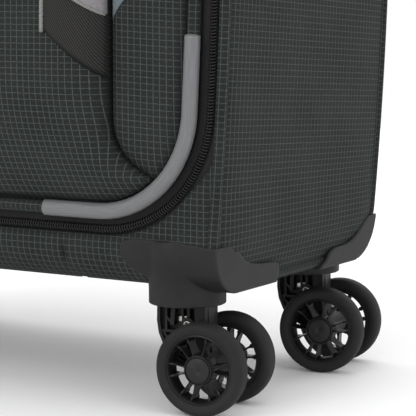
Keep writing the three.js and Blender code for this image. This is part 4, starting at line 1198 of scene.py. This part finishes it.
def accent_panels():
    """On each shoulder of the lower pocket: a twill panel, a pale chevron and a grey cord."""
    cord_x, corner_z, toe_z, top_z = 94.6, LOW + 135, LOW + 109.5, POCKET_HIGH - 14
    pale_low = (corner_z + 28, toe_z + 33.5)
    pale_high = 34

    def on_pocket(x, z, lift):
        return np.stack([x, LID_FACE - 0.4 - pocket_rise(x, z) - lift, z], -1)

    share = np.linspace(0, 1, 26)
    for hand, side in zip(HANDS, (1, -1)):

        def panel(name, bottom, top, lift, material, slot):
            rise = np.linspace(0, 1, 50)[:, None]
            low = bottom[0] + (bottom[1] - bottom[0]) * share
            high = top[0] + (top[1] - top[0]) * share
            z = low + (high - low) * rise
            x = cord_x + (seam_x(z) - 0.5 - cord_x) * share
            points = on_pocket(x, z, lift) * [side, 1, 1]
            edge = np.minimum(np.minimum(z - low, high - z), seam_x(z) - x)
            weave = np.stack([x, z], -1)
            faces = grid_faces(*x.shape)
            # The last argument is painted shade along the panel's edges.
            made = piece(name, points, faces, "lid", slot, material, weave, np.exp(-edge / 0.5))
            face_away_from(made, INSIDE)
            thicken(made, 0.8)

        panel(f"twill_panel_{hand}", (corner_z, toe_z), (top_z, top_z), 0.8, TWILL, "accent_fabric")
        pale_top = (pale_low[0] + pale_high, pale_low[1] + pale_high)
        panel(f"pale_panel_{hand}", pale_low, pale_top, 1.4, PALE_CLOTH, "accent_fabric")

        z = np.linspace(corner_z - 1, top_z, 60)
        line = on_pocket(np.full(60, cord_x - 0.6), z, 1.0)
        cords = [line]
        x = np.linspace(cord_x + 1, float(seam_x(pale_low[1])) - 1, 30)
        for lift in (0, pale_high):
            edge_z = np.interp(x, [cord_x, x[-1]], [pale_low[0] + lift, pale_low[1] + lift])
            cords.append(on_pocket(x, edge_z, 1.5))
        for index, path in enumerate(cords):
            points, faces, weave = tube(path * [side, 1, 1], 1.15 if index == 0 else 0.9, 8)
            piece(f"accent_cord_{hand}_{index}", points, faces, "lid", "accent_fabric", CORD, weave)

        # The chevron's other arm, on the lid's own cloth outside the seam.
        x = (SEAM_HALF + 0.6 + (162 - SEAM_HALF) * share)[None, :]
        low = toe_z + 30 + 1.05 * (x - SEAM_HALF)
        z = low + 32 * np.linspace(0, 1, 26)[:, None]
        x = np.broadcast_to(x, z.shape)
        rise, _ = lid_rise(x, z)
        points = np.stack([side * x, LID_FACE - rise - 0.7, z], -1)
        made = piece(
            f"chevron_arm_{hand}",
            points,
            grid_faces(*z.shape),
            "lid",
            "accent_fabric",
            BLUE_CLOTH,
            np.stack([x, z], -1),
        )
        face_away_from(made, INSIDE)
        thicken(made, 0.7)


def straight_zip(name, z, half, y, body="lid"):
    """A pocket's zip: a run of teeth on a tape."""
    line = resampled([[-half, z], [half, z]], TOOTH_PITCH)
    inward = np.tile([0.0, 1.0], (len(line), 1))
    for side, part in ((1, "upper"), (-1, "lower")):
        teeth(f"{name}_teeth_{part}", line, inward, side, body, y=y - 0.6, reach=1.9)
    coarse = resampled([[-half - 3, z], [half + 3, z]], 6)
    tape(f"{name}_tape", coarse, np.tile([0.0, 1.0], (len(coarse), 1)), -6.5, 6.5, body, y=y + 0.1)


def build_lid():
    lid_cloth()
    lid_lining()
    lower_pocket_cloth()
    upper_pocket_cloth()
    lid_pipings()
    accent_panels()
    pull_low, pull_high = local("lower_pocket_slider")
    straight_zip("lower_pocket_zip", (pull_low[2] + pull_high[2]) / 2, SEAM_HALF - 4, LID_FACE - 0.7)
    pull_low, pull_high = local("upper_pocket_slider")
    straight_zip("upper_pocket_zip", (pull_low[2] + pull_high[2]) / 2, UPPER_HALF - 8, LID_FACE - 0.7)
    seam = np.linspace(POCKET_LOW + 46, POCKET_HIGH - 6, 80)
    lines = []
    for side in (1, -1):
        for x_in in (3.0,):
            x = seam_x(seam) + x_in
            rise, _ = lid_rise(x, seam)
            lines.append(np.column_stack([side * x, LID_FACE - rise - 0.15, seam]))
    stitches("lid_seam_stitches", lines, "lid", THREAD_DARK, "fabric_shell")


def hinge_cloth():
    """The fabric hinge along the lid's left edge."""
    z = np.linspace(CORNER_Z + 2, COIL_LOW + COIL_HIGH - CORNER_Z - 2, 70)
    across = np.linspace(-6, 9, 13)
    x = -(side_x(z)[:, None] - COIL_INSET) + across[None, :]
    y = -0.6 - 0.8 * np.sin(np.pi * (across + 6) / 15)
    zz = np.broadcast_to(z[:, None], x.shape)
    points = np.stack([x, np.broadcast_to(y, x.shape), zz], -1)
    weave = np.stack([np.broadcast_to(across, x.shape), zz], -1)
    made = piece("hinge_cloth", points, grid_faces(*x.shape), None, "fabric_shell", RIPSTOP, weave)
    face_away_from(made, INSIDE)
    made.data = with_modifiers(made.data, ("SOLIDIFY", {"thickness": 1.2 * MM, "offset": -1}))
    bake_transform(made)


build_body_cloth()
build_main_zip()
build_lid()
hinge_cloth()


# ---------- Wheel housings ----------

SHELL = 2.4  # thickness of the housings' skirts
FIT = 0.3
CREST = 25.4
CUP_RADIUS = 20.8
CUP_LOW = 56.4
CUP_HIGH = 86


def pin_place(end, hand="right"):
    low, high = local(f"{end}_{hand}_swivel_pin")
    return (low + high) / 2


def stacked(rings, steps=40):
    """A closed solid through level circles, each given as (x, y, z, radius)."""
    a = 2 * np.pi * np.arange(steps) / steps
    cos, sin = np.cos(a), np.sin(a)
    points = [np.column_stack([x + r * cos, y + r * sin, np.full(steps, z)]) for x, y, z, r in rings]
    faces = [list(f) for f in grid_faces(len(rings), steps, wrap_cols=True)]
    ends = [list(range(steps))[::-1], [(len(rings) - 1) * steps + i for i in range(steps)]]
    return np.vstack(points), faces + ends


def housing_mesh(end, side_points, boss_rings):
    """One lower corner: a skirt wrapped round the body's corner, with the swivel cup growing out of it."""
    pin = pin_place(end)
    outside = float(side_x(LOW + CREST)) + FIT
    outer = mesh_of(prism(body_outline(FIT + SHELL), pin[0] - 45, outside + SHELL, 0))
    room = mesh_of(prism(body_outline(FIT), -400, outside, 0))
    rises = np.array([(pin[1] + y, LOW + rise) for y, rise in side_points])
    side_mask = mesh_of(prism(rounded(rises, 6), -400, 400, 0))
    face_points = [(400, 0), (400, CREST - 2.4), (30, CREST - 2.2), (4, CREST), (-19, CREST), (-24, CREST - 1)]
    face_points += [(-27.4, 21), (-27.4, 15.6), (-24, 10.5), (-19, 6.6), (-11, 3.2), (-9, -20)]
    face = np.array([(pin[0] + x, LOW + rise) for x, rise in face_points])
    face_mask = mesh_of(prism(face, -400, 400, 1))
    skirt = combined(outer, room.copy(), "DIFFERENCE")
    skirt = combined(combined(skirt, side_mask, "INTERSECT"), face_mask, "INTERSECT")
    if boss_rings:
        boss = mesh_of(stacked([(pin[0] + x, pin[1] + y, z, r) for x, y, z, r in boss_rings]))
        skirt = combined(skirt, combined(boss, room, "DIFFERENCE"), "UNION")
    cup = mesh_of(stacked([(pin[0], pin[1], z, CUP_RADIUS) for z in (CUP_LOW, CUP_HIGH)], 64))
    bore_ends = (CUP_LOW - 5, CUP_LOW + 6.2)
    bore = mesh_of(stacked([(pin[0], pin[1], z, CUP_RADIUS - 2.3) for z in bore_ends], 64))
    whole = combined(combined(skirt, cup, "UNION"), bore, "DIFFERENCE")
    return moulded(whole, 0.85, 5)


def build_housings():
    front = [(-45, -14), (30, -14), (38, -6), (42.2, -1), (44, 4.2), (42, 7.8), (36, 9.1), (24, 9.9), (12, 11.8)]
    front += [(5, 15.2), (-1, 20), (-8, 23.2), (-20, CREST + 0.4), (-30, CREST + 0.8), (-60, CREST), (-70, 0)]
    boss = [(-1, -16.2, 92.2, 7.4), (-1, -15.4, 91.2, 10), (0, -12.1, 89, 14), (0.8, -8.7, 85, 17.6)]
    boss += [(1, -5.7, 80, 20), (0.6, -2.7, 75, 20.8), (0, -0.7, 70, 20.8), (0, 0, 64, 20.8), (0, 0, 60, 20.7)]
    rear = [(80, -14), (-34, -14), (-42.4, -5.5), (-38, -0.8), (-32.5, 1.8), (-28.6, 5.6), (-21, 7.9)]
    rear += [(-11, 8.3), (-2, 9.6), (7, 13.2), (17, 19.6), (21.5, 21.6), (30, 22.2), (60, 22.4), (90, 0)]
    for end, outline, rings in (("front", front, boss), ("rear", rear, None)):
        mesh = housing_mesh(end, outline, rings)
        for hand, side in zip(HANDS, (1, -1)):
            made = mesh.copy()
            co = np.empty(len(made.vertices) * 3)
            made.vertices.foreach_get("co", co)
            made.vertices.foreach_set("co", (co.reshape(-1, 3) * [side, 1, 1] + ORIGIN * MM).ravel())
            if side < 0:
                made.flip_normals()
            made.materials.clear()
            name = f"{end}_{hand}_wheel_housing"
            attach(name + "_moulding", made, "root", HOUSING, replaces=[name])


# ---------- Casters ----------

WHEEL_RADIUS = float(local("front_right_wheel_a")[1][2] / 2)
FORK_LONG = 14
FORK_WIDE = 8.2
RIVET_X = 4.0  # the hollow rivet across the fork
RIVET_Z = 46.2
BOSS_REACH = 10.6  # the axle boss, short of the wheels' inner faces


def turned_frame(centre, along, across):
    """A matrix with its X along, its Y across and its Z up, at a place given in the frame's millimetres."""
    matrix = Matrix.Identity(4)
    for i, axis in enumerate((along, across, np.array([0, 0, 1.0]))):
        matrix.col[i][:3] = axis
    matrix.translation = Vector(np.asarray(centre) * MM)
    return matrix


def caster_axes(name):
    middles = [sum(span(f"{name}_wheel_{wheel}")) / 2 for wheel in "ab"]
    across = middles[1] - middles[0]
    across /= np.linalg.norm(across)
    return middles, np.cross(across, [0, 0, 1.0]), across


def pin_middle(name):
    return sum(span(f"{name}_swivel_pin")) / 2


def caster_trail(name):
    """How far the wheels' axis trails behind the swivel's."""
    middles, _, _ = caster_axes(name)
    return float(np.linalg.norm((sum(middles) / 2 - pin_middle(name))[:2]))


TRAIL = caster_trail("front_right")


def fork_shape():
    """Two ribbed cheeks under a swivel disc, in the fork's own frame."""
    low = CUP_LOW + 1.2
    parts = []
    fender = [(-FORK_LONG + 0.8, low), (-FORK_LONG + 0.6, 47), (-FORK_LONG + 1.6, 40.5), (-9.6, 34), (-4, 28.6)]
    fender += [(3, 24.4), (10, 21)]
    for y0, y1 in ((-FORK_WIDE, -FORK_WIDE + 2.6), (FORK_WIDE - 2.6, FORK_WIDE)):
        line = resampled(fender, 1.5)
        ahead = np.gradient(line, axis=0)
        ahead /= np.linalg.norm(ahead, axis=1)[:, None]
        off = np.stack([-ahead[:, 1], ahead[:, 0]], 1)
        band = np.vstack([line + off * 0.9, (line - off * 0.9)[::-1]])
        parts.append(prism(band, y0, y1, 1))
    back = [(TRAIL - 3, 21), (TRAIL, 30), (FORK_LONG + 1, 38), (FORK_LONG, low)]
    spine = np.vstack([resampled(fender, 1.5), back])
    parts.append(prism(spine, -FORK_WIDE + 4.2, FORK_WIDE - 4.2, 1))
    parts.append(block((FORK_LONG - 6, -FORK_WIDE, 30), (FORK_LONG, FORK_WIDE, low)))
    ribs = [((-9.2, 41), (-9.2, low), 1.3), ((-5.8, 45), (-4.6, low), 2.3), ((0.6, 41), (0.6, low), 1.0)]
    ribs += [((4.0, 41), (4.0, low), 1.6), ((-FORK_LONG + 1, 41.6), (9, 41.6), 1.5)]
    ribs += [((-11, 41), (-1, 29), 1.5), ((-2, 41.5), (-9, 33), 1.4), ((0, 41), (5, 27), 1.6)]
    ribs += [((6, 41), (-3, 29), 1.4), ((-9, 49), (-5, 45), 1.3)]
    for (ax, az), (bx, bz), wide in ribs:
        run = np.array([bx - ax, bz - az], float)
        side = np.array([-run[1], run[0]]) / np.linalg.norm(run) * wide / 2
        a, b = np.array([ax, az]), np.array([bx, bz])
        parts.append(prism([a - side, b - side, b + side, a + side], -FORK_WIDE + 0.7, FORK_WIDE - 0.7, 1))
    bosses = ((TRAIL, WHEEL_RADIUS, 6.4, BOSS_REACH), (RIVET_X, RIVET_Z, 3.7, FORK_WIDE + 0.8))
    for x, z, radius, reach in bosses:
        turned = lathe([(0.01, -reach), (radius, -reach), (radius, reach), (0.01, reach)], 28)
        parts.append((turned[0] + [x, 0, z], turned[1]))
    parts.append(stacked([(0, 0, low - 0.4, 17.4), (0, 0, 62, 17.4)], 48))
    return parts


def fork_mesh():
    """The fork's shapes joined into one mesh, bored for its axle and its rivet."""
    parts = fork_shape()
    whole = mesh_of(parts[0])
    for part in parts[1:]:
        whole = combined(whole, mesh_of(part), "UNION")
    for x, z, radius in ((TRAIL, WHEEL_RADIUS, 3.3), (RIVET_X, RIVET_Z, 1.95)):
        turned = lathe([(0.01, -30), (radius, -30), (radius, 30), (0.01, 30)], 24)
        whole = combined(whole, mesh_of((turned[0] + [x, 0, z], turned[1])), "DIFFERENCE")
    return whole


def spoked_hub(phase):
    """The hub: a dished rim, a boss for the round cap, and slim blades in pairs, about the Y axis."""
    rim = [(16.9, -4.4), (18.8, -4.6), (18.8, 5.0), (18.1, 5.3), (17.4, 4.4), (16.9, 2.2)]
    boss = [(3.4, -5.0), (7.4, -5.0), (8.2, -3.8), (8.3, 4.6), (7.9, 5.5), (7.35, 5.7), (7.2, 5.0), (3.4, 5.0)]
    parts = [lathe(rim, 72), lathe(boss, 48)]
    # Each blade as stations along its length: radius, half width, top and bottom.
    stations = np.array(
        [
            (7.6, 1.9, 4.3, -3.4),
            (8.7, 0.95, 4.4, -3.4),
            (10.0, 0.58, 4.3, -3.3),
            (13.6, 0.55, 3.9, -3.2),
            (14.8, 0.8, 4.0, -3.2),
            (15.7, 1.4, 4.2, -3.2),
            (16.7, 0.8, 4.5, -3.6),
            (17.6, 0.25, 4.8, -3.9),
        ]
    )
    for pair in range(6):
        for lean in (-1, 1):
            angle = math.radians(60 * pair + 11.5 * lean) + phase
            hoops = []
            for radius, half, top, low in stations:
                hoops.append([(radius, -half, low), (radius, half, low)])
                hoops[-1] += [(radius, half * 0.55, top - 0.25), (radius, 0, top)]
                hoops[-1] += [(radius, -half * 0.55, top - 0.25)]
            flat = np.array(hoops)
            x = flat[..., 0] * math.cos(angle) - flat[..., 1] * math.sin(angle)
            z = flat[..., 0] * math.sin(angle) + flat[..., 1] * math.cos(angle)
            points = np.stack([x, flat[..., 2], z], -1).reshape(-1, 3)
            faces = [list(f) for f in grid_faces(len(stations), 5, wrap_cols=True)]
            count = len(points)
            parts.append((points, faces + [list(range(5))[::-1], list(range(count - 5, count))]))
    return parts


def tread_profile():
    """The tyre's section; its outer side is crowned further out than its inner side."""
    outer = [(18.6, 4.9), (19.2, 5.6), (20.3, 6.2), (21.8, 6.6), (23.0, 6.4), (24.0, 5.6), (24.7, 4.2)]
    outer += [(24.95, 2.5), (WHEEL_RADIUS, 0.8)]
    inner = [(WHEEL_RADIUS, -0.8), (24.95, -2.3), (24.7, -3.7), (24.0, -4.75), (23.0, -5.3), (21.8, -5.35)]
    return outer + inner + [(20.4, -5.0), (19.3, -4.5), (18.6, -3.9)]


def build_casters():
    """Each caster: a ribbed fork with its rivet, and two wheels of hub, tread and cap."""
    fork = fork_mesh()
    for end, near_phase in zip(ENDS, (4, 10)):
        for hand in HANDS:
            name = f"{end}_{hand}"
            middles, along, across = caster_axes(name)
            pin = pin_middle(name)
            stand = turned_frame([pin[0], pin[1], 0], along, across)
            made = attach(
                f"{name}_ribbed_fork",
                fork.copy(),
                f"{name}_caster",
                DARK_PLASTIC,
                stand,
                replaces=[f"{name}_fork"],
            )
            bevelled(made, 0.28, 2, 40)
            rivet = [(1.05, -9.4), (1.9, -9.4), (1.9, 9.4), (1.05, 9.4)]
            points, faces = lathe(rivet, 24)
            rivet_piece = piece(
                f"{name}_hollow_rivet",
                points + [RIVET_X, 0, RIVET_Z],
                faces,
                f"{name}_caster",
                "steel",
                STEEL,
                matrix=stand,
            )
            outward(rivet_piece.data)
            for wheel, middle, sign, phase in zip("ab", middles, (-1, 1), (near_phase, -17)):
                body = f"{name}_wheel_{wheel}"
                face = turned_frame(middle, along * sign, across * sign)
                points, faces = lathe(tread_profile(), 96)
                here = {"matrix": face, "replaces": [body]}
                tread = piece(f"{body}_tread", points, faces, body, "wheel_rubber", TREAD, **here)
                outward(tread.data)
                points, faces = joined(*spoked_hub(-math.radians(phase)))
                hub = piece(f"{body}_hub", points, faces, body, "moulded_plastic", HUB, **here)
                outward(hub.data)
                bevelled(hub, 0.16, 2, 30)
                cap_profile = [(0.01, 4.0), (6.6, 4.0), (6.75, 5.5), (6.4, 6.0), (3.0, 6.2), (0.01, 6.25)]
                points, faces = lathe(cap_profile, 64)
                cap = piece(f"{body}_cap", points, faces, body, "moulded_plastic", HOUSING, matrix=face)
                outward(cap.data)
            softened(f"{name}_axle", 0.5, STEEL)
            softened(f"{name}_swivel_pin", 0.5, STEEL)


build_housings()
build_casters()


# ---------- Trolley ----------


def build_trolley():
    for hand in HANDS:
        for stage in ("outer", "middle", "inner"):
            softened(f"{stage}_tube_{hand}", 0.7, ALUMINIUM, 2)
    softened("trolley_foot", 1.6, DARK_PLASTIC)
    softened("trolley_bezel", 1.1, HOUSING)
    softened("trolley_grip", 1.6, DARK_PLASTIC, 4)
    softened("grip_button", 1.4, GREY_PLASTIC, 4)
    # Two seams run round the grip, where its soft underside joins the upper shell.
    low, high = local("trolley_grip")
    y0, y1, z = low[1] - 0.05, high[1] + 0.05, low[2] + 4
    for name, y in (("front", y0), ("back", y1)):
        path = resampled([[low[0] + 3, y, z], [high[0] - 3, y, z]], 4)
        points, faces, weave = tube(path, 0.45, 8)
        piece(f"grip_{name}_seam", points, faces, "trolley_upper_stage", "moulded_plastic", HUB, weave)
    # Screws through the bezel's lip into the body.
    low, high = local("trolley_bezel")
    for x in (low[0] + 14, 0, high[0] - 14):
        profile = [(0.9, 0.2), (0.9, -0.5), (2.9, -0.75), (3.4, -0.3), (3.4, 0.5), (0.9, 0.5)]
        points, faces = lathe([(r, -y) for r, y in profile], 28)
        place = [x, high[1] - 0.05, low[2] + 8]
        name = f"bezel_screw_{int(round(x)) + 200}"
        screw = piece(name, points + place, faces, "root", "steel", DARK_STEEL)
        outward(screw.data)


# ---------- Carry handles ----------


def handle_frame(node):
    """The handle's own frame, in the body's millimetres: its middle on the board, along, across and out."""
    if node == "top_carry_handle":
        bracket = local("top_handle_bracket_left")
        low, high = local(node)
        base = np.array([(low[0] + high[0]) / 2, (low[1] + high[1]) / 2, bracket[0][2] - FIT])
        return base, np.array([1.0, 0, 0]), np.array([0, 1.0, 0]), np.array([0, 0, 1.0])
    low, high = local(node)
    bracket = local("side_handle_bracket_upper")
    base = np.array([bracket[0][0] - FIT, (low[1] + high[1]) / 2, (low[2] + high[2]) / 2])
    return base, np.array([0, 0, -1.0]), np.array([0, 1.0, 0]), np.array([1.0, 0, 0])


def build_handle(node, body, brackets):
    """A padded strap that rises between its two ends, with its stitching and its brackets."""
    base, along, across, out = handle_frame(node)
    span_low, span_high = local(node)
    half = np.abs((span_high - span_low) @ along) / 2
    s = half * np.sin(np.pi / 2 * np.linspace(-1, 1, 90))
    rise = smoothstep((half - 12 - np.abs(s)) / 20)
    middle = 5.6 + 7.4 * rise
    thick = 1.3 + 2.2 * smoothstep((half - 8 - np.abs(s)) / 16)
    wide = 9.6 + 1.6 * smoothstep((half - 4 - np.abs(s)) / 30)
    a = 2 * np.pi * np.arange(28) / 28
    cos, sin = np.cos(a), np.sin(a)
    ring = np.stack([np.sign(cos) * np.abs(cos) ** 0.5, np.sign(sin) * np.abs(sin) ** 0.75], 1)
    rows = []
    for i in range(len(s)):
        w, t = wide[i] * ring[:, 0], thick[i] * ring[:, 1]
        rows.append(base + s[i] * along + w[:, None] * across + (middle[i] + t)[:, None] * out)
    faces = [list(f) for f in grid_faces(len(s), 28, wrap_cols=True)]
    faces += [list(range(28))[::-1], list(range(28 * (len(s) - 1), 28 * len(s)))]
    weave = np.stack(np.broadcast_arrays(wide[:, None] * ring[None, :, 0], s[:, None]), -1)
    rows = np.array(rows)
    strap = piece(f"{node}_strap", rows, faces, body, "fabric_shell", RIPSTOP, weave, replaces=[node])
    outward(strap.data)
    lines = []
    keep = np.abs(s) < half - 6
    for side in (-1, 1):
        y = side * (wide - 2.6)
        line = base + s[:, None] * along + y[:, None] * across + (middle + thick * 0.9)[:, None] * out
        lines.append(line[keep])
    for end in (-1, 1):
        at = base + end * (half - 7) * along + (5.6 + 1.3) * out
        lines.append(np.array([at - 6.5 * across, at + 6.5 * across]))
    stitches(f"{node}_stitches", lines, body, THREAD_DARK, "fabric_shell")
    for end, name in ((-1, "first"), (1, "second")):
        at = end * (half - 2.2)
        foot = ((-2, -6.8), (2, -6.8), (2, 6.8), (-2, 6.8))
        corners = [base + (at + x) * along + y * across for x, y in foot]
        points = [c - 18 * out for c in corners] + [c + 5.4 * out for c in corners]
        faces = BOX_FACES
        weave = [(0, 0), (4, 0), (8, 0), (12, 0)] + [(0, 24), (4, 24), (8, 24), (12, 24)]
        leg = piece(f"{node}_{name}_end", points, faces, body, "fabric_shell", WEBBING, weave)
        outward(leg.data)
        bevelled(leg, 0.5, 2)
    for bracket in brackets:
        softened(bracket, 1.1, HOUSING, 4)


# ---------- Inside and zip pulls ----------


def build_inside():
    low, high = local("inner_liner")
    xs = low[0] + (high[0] - low[0]) * (1 - np.cos(np.pi * np.linspace(0, 1, 80))) / 2
    zs = low[2] + (high[2] - low[2]) * (1 - np.cos(np.pi * np.linspace(0, 1, 90))) / 2
    x, z = np.meshgrid(xs, zs)
    tube_low, tube_high = local("outer_tube_right")
    middle, half = (tube_low[0] + tube_high[0]) / 2, (tube_high[0] - tube_low[0]) / 2
    over = smoothstep((half + 16 - np.abs(np.abs(x) - middle)) / 18)
    edge = np.minimum(np.minimum(x - low[0], high[0] - x), np.minimum(z - low[2], high[2] - z))
    sag = (1 - over) * 1.2 * ease(edge / 40) + 0.25 * np.sin(x / 13 + z / 61) * ease(edge / 20)
    points = np.stack([x, high[1] - 1.1 + np.clip(sag, -0.2, 1.2) * 0.6, z], -1)
    made = piece(
        "inner_liner_cloth",
        points,
        grid_faces(*x.shape),
        "root",
        "lining_fabric",
        LINING,
        np.stack([x, z], -1),
        replaces=["inner_liner"],
    )
    face_away_from(made, (0, DEPTH + 100, MIDDLE))
    thicken(made, 1.0)

    low, high = local("packing_straps")
    centre_z = (low[2] + high[2]) / 2
    band_y = high[1] - 0.75
    wide = 12.0
    reach = np.array([high[0] - low[0], high[2] - low[2]]) / 2 - 8
    shapes = []
    for index, lean in enumerate((1, -1)):
        direction = np.array([reach[0], reach[1] * lean])
        length = np.linalg.norm(direction)
        direction /= length
        normal = np.array([-direction[1], direction[0]])
        s = np.linspace(-length + 12, length - 12, 100)
        v = np.array([-wide, -wide + 0.5, wide - 0.5, wide])
        slack = 1.1 * np.sin(s / 38) ** 2 + 1.6 * index * np.exp(-((s / 26) ** 2))
        flat = s[:, None, None] * direction + v[None, :, None] * normal
        y = band_y - slack[:, None] - np.array([0, 0.25, 0.25, 0])
        points = np.stack([flat[..., 0], y, centre_z + flat[..., 1]], -1)
        weave = np.stack(np.broadcast_arrays(v[None, :], s[:, None]), -1)
        band = piece(
            f"packing_strap_{index}",
            points,
            grid_faces(len(s), 4),
            "root",
            "lining_fabric",
            WEBBING,
            weave,
            replaces=["packing_straps"],
        )
        face_away_from(band, (0, DEPTH + 100, MIDDLE))
        thicken(band, 1.1)
        for end in (-1, 1):
            at = end * (length - 70)
            along = np.array([direction[0], 0, direction[1]])
            wide_axis = np.array([normal[0], 0, normal[1]])
            centre = np.array([0, band_y - 2.6, centre_z]) + at * along
            bar = []
            for u, w in ((-7, -15), (7, -15), (7, 15), (-7, 15)):
                bar.append(centre + u * along + w * wide_axis)
            shapes.append((np.vstack([np.array(bar), np.array(bar) + [0, 2.2, 0]]), BOX_FACES))
    points, faces = joined(*shapes)
    adjusters = piece("strap_adjusters", points, faces, "root", "moulded_plastic", DARK_PLASTIC)
    outward(adjusters.data)
    bevelled(adjusters, 0.7, 3)
    size = 23.0
    outline = [(-size, -size + 7), (-size + 7, -size), (size - 7, -size), (size, -size + 7)]
    outline += [(size, size - 7), (size - 7, size), (-size + 7, size), (-size, size - 7)]
    plate = [(x, centre_z + z) for x, z in outline]
    low_y = low[1]
    parts = [prism(plate, low_y + 1.2, high[1] - 0.4, 1)]
    inner = [(x * 0.6, centre_z + z * 0.6) for x, z in outline]
    parts.append(prism(inner, low_y, low_y + 2.0, 1))
    points, faces = joined(*parts)
    stands_for = ["packing_straps"]
    buckle = piece("strap_buckle", points, faces, "root", "moulded_plastic", DARK_PLASTIC, replaces=stands_for)
    outward(buckle.data)
    bevelled(buckle, 1.0, 3)


def build_zip_pulls():
    for hand in ("left", "right"):
        softened(f"main_slider_{hand}", 0.6, DARK_STEEL)
        softened(f"main_puller_{hand}", 0.7, DARK_STEEL)
        low, high = local(f"main_puller_{hand}")
        x = (low[0] + high[0]) / 2
        grip_low, grip_high = low[2] + 2, high[2] - 10
        ridges = []
        for z in np.arange(grip_low + 1.4, grip_high, 2.2):
            ridges.append(block((x - 3.3, low[1] - 0.5, z - 0.55), (x + 3.3, high[1] + 0.5, z + 0.55)))
        points, faces = joined(*ridges)
        grip = piece(f"main_puller_{hand}_ridges", points, faces, f"main_puller_{hand}", "zipper", TREAD)
        outward(grip.data)
        bevelled(grip, 0.25, 2)
    for pocket in ("lower", "upper"):
        softened(f"{pocket}_pocket_slider", 0.7, DARK_STEEL)


build_trolley()
build_handle("top_carry_handle", "top_handle", ("top_handle_bracket_left", "top_handle_bracket_right"))
build_handle("side_carry_handle", "side_handle", ("side_handle_bracket_upper", "side_handle_bracket_lower"))
build_inside()
build_zip_pulls()
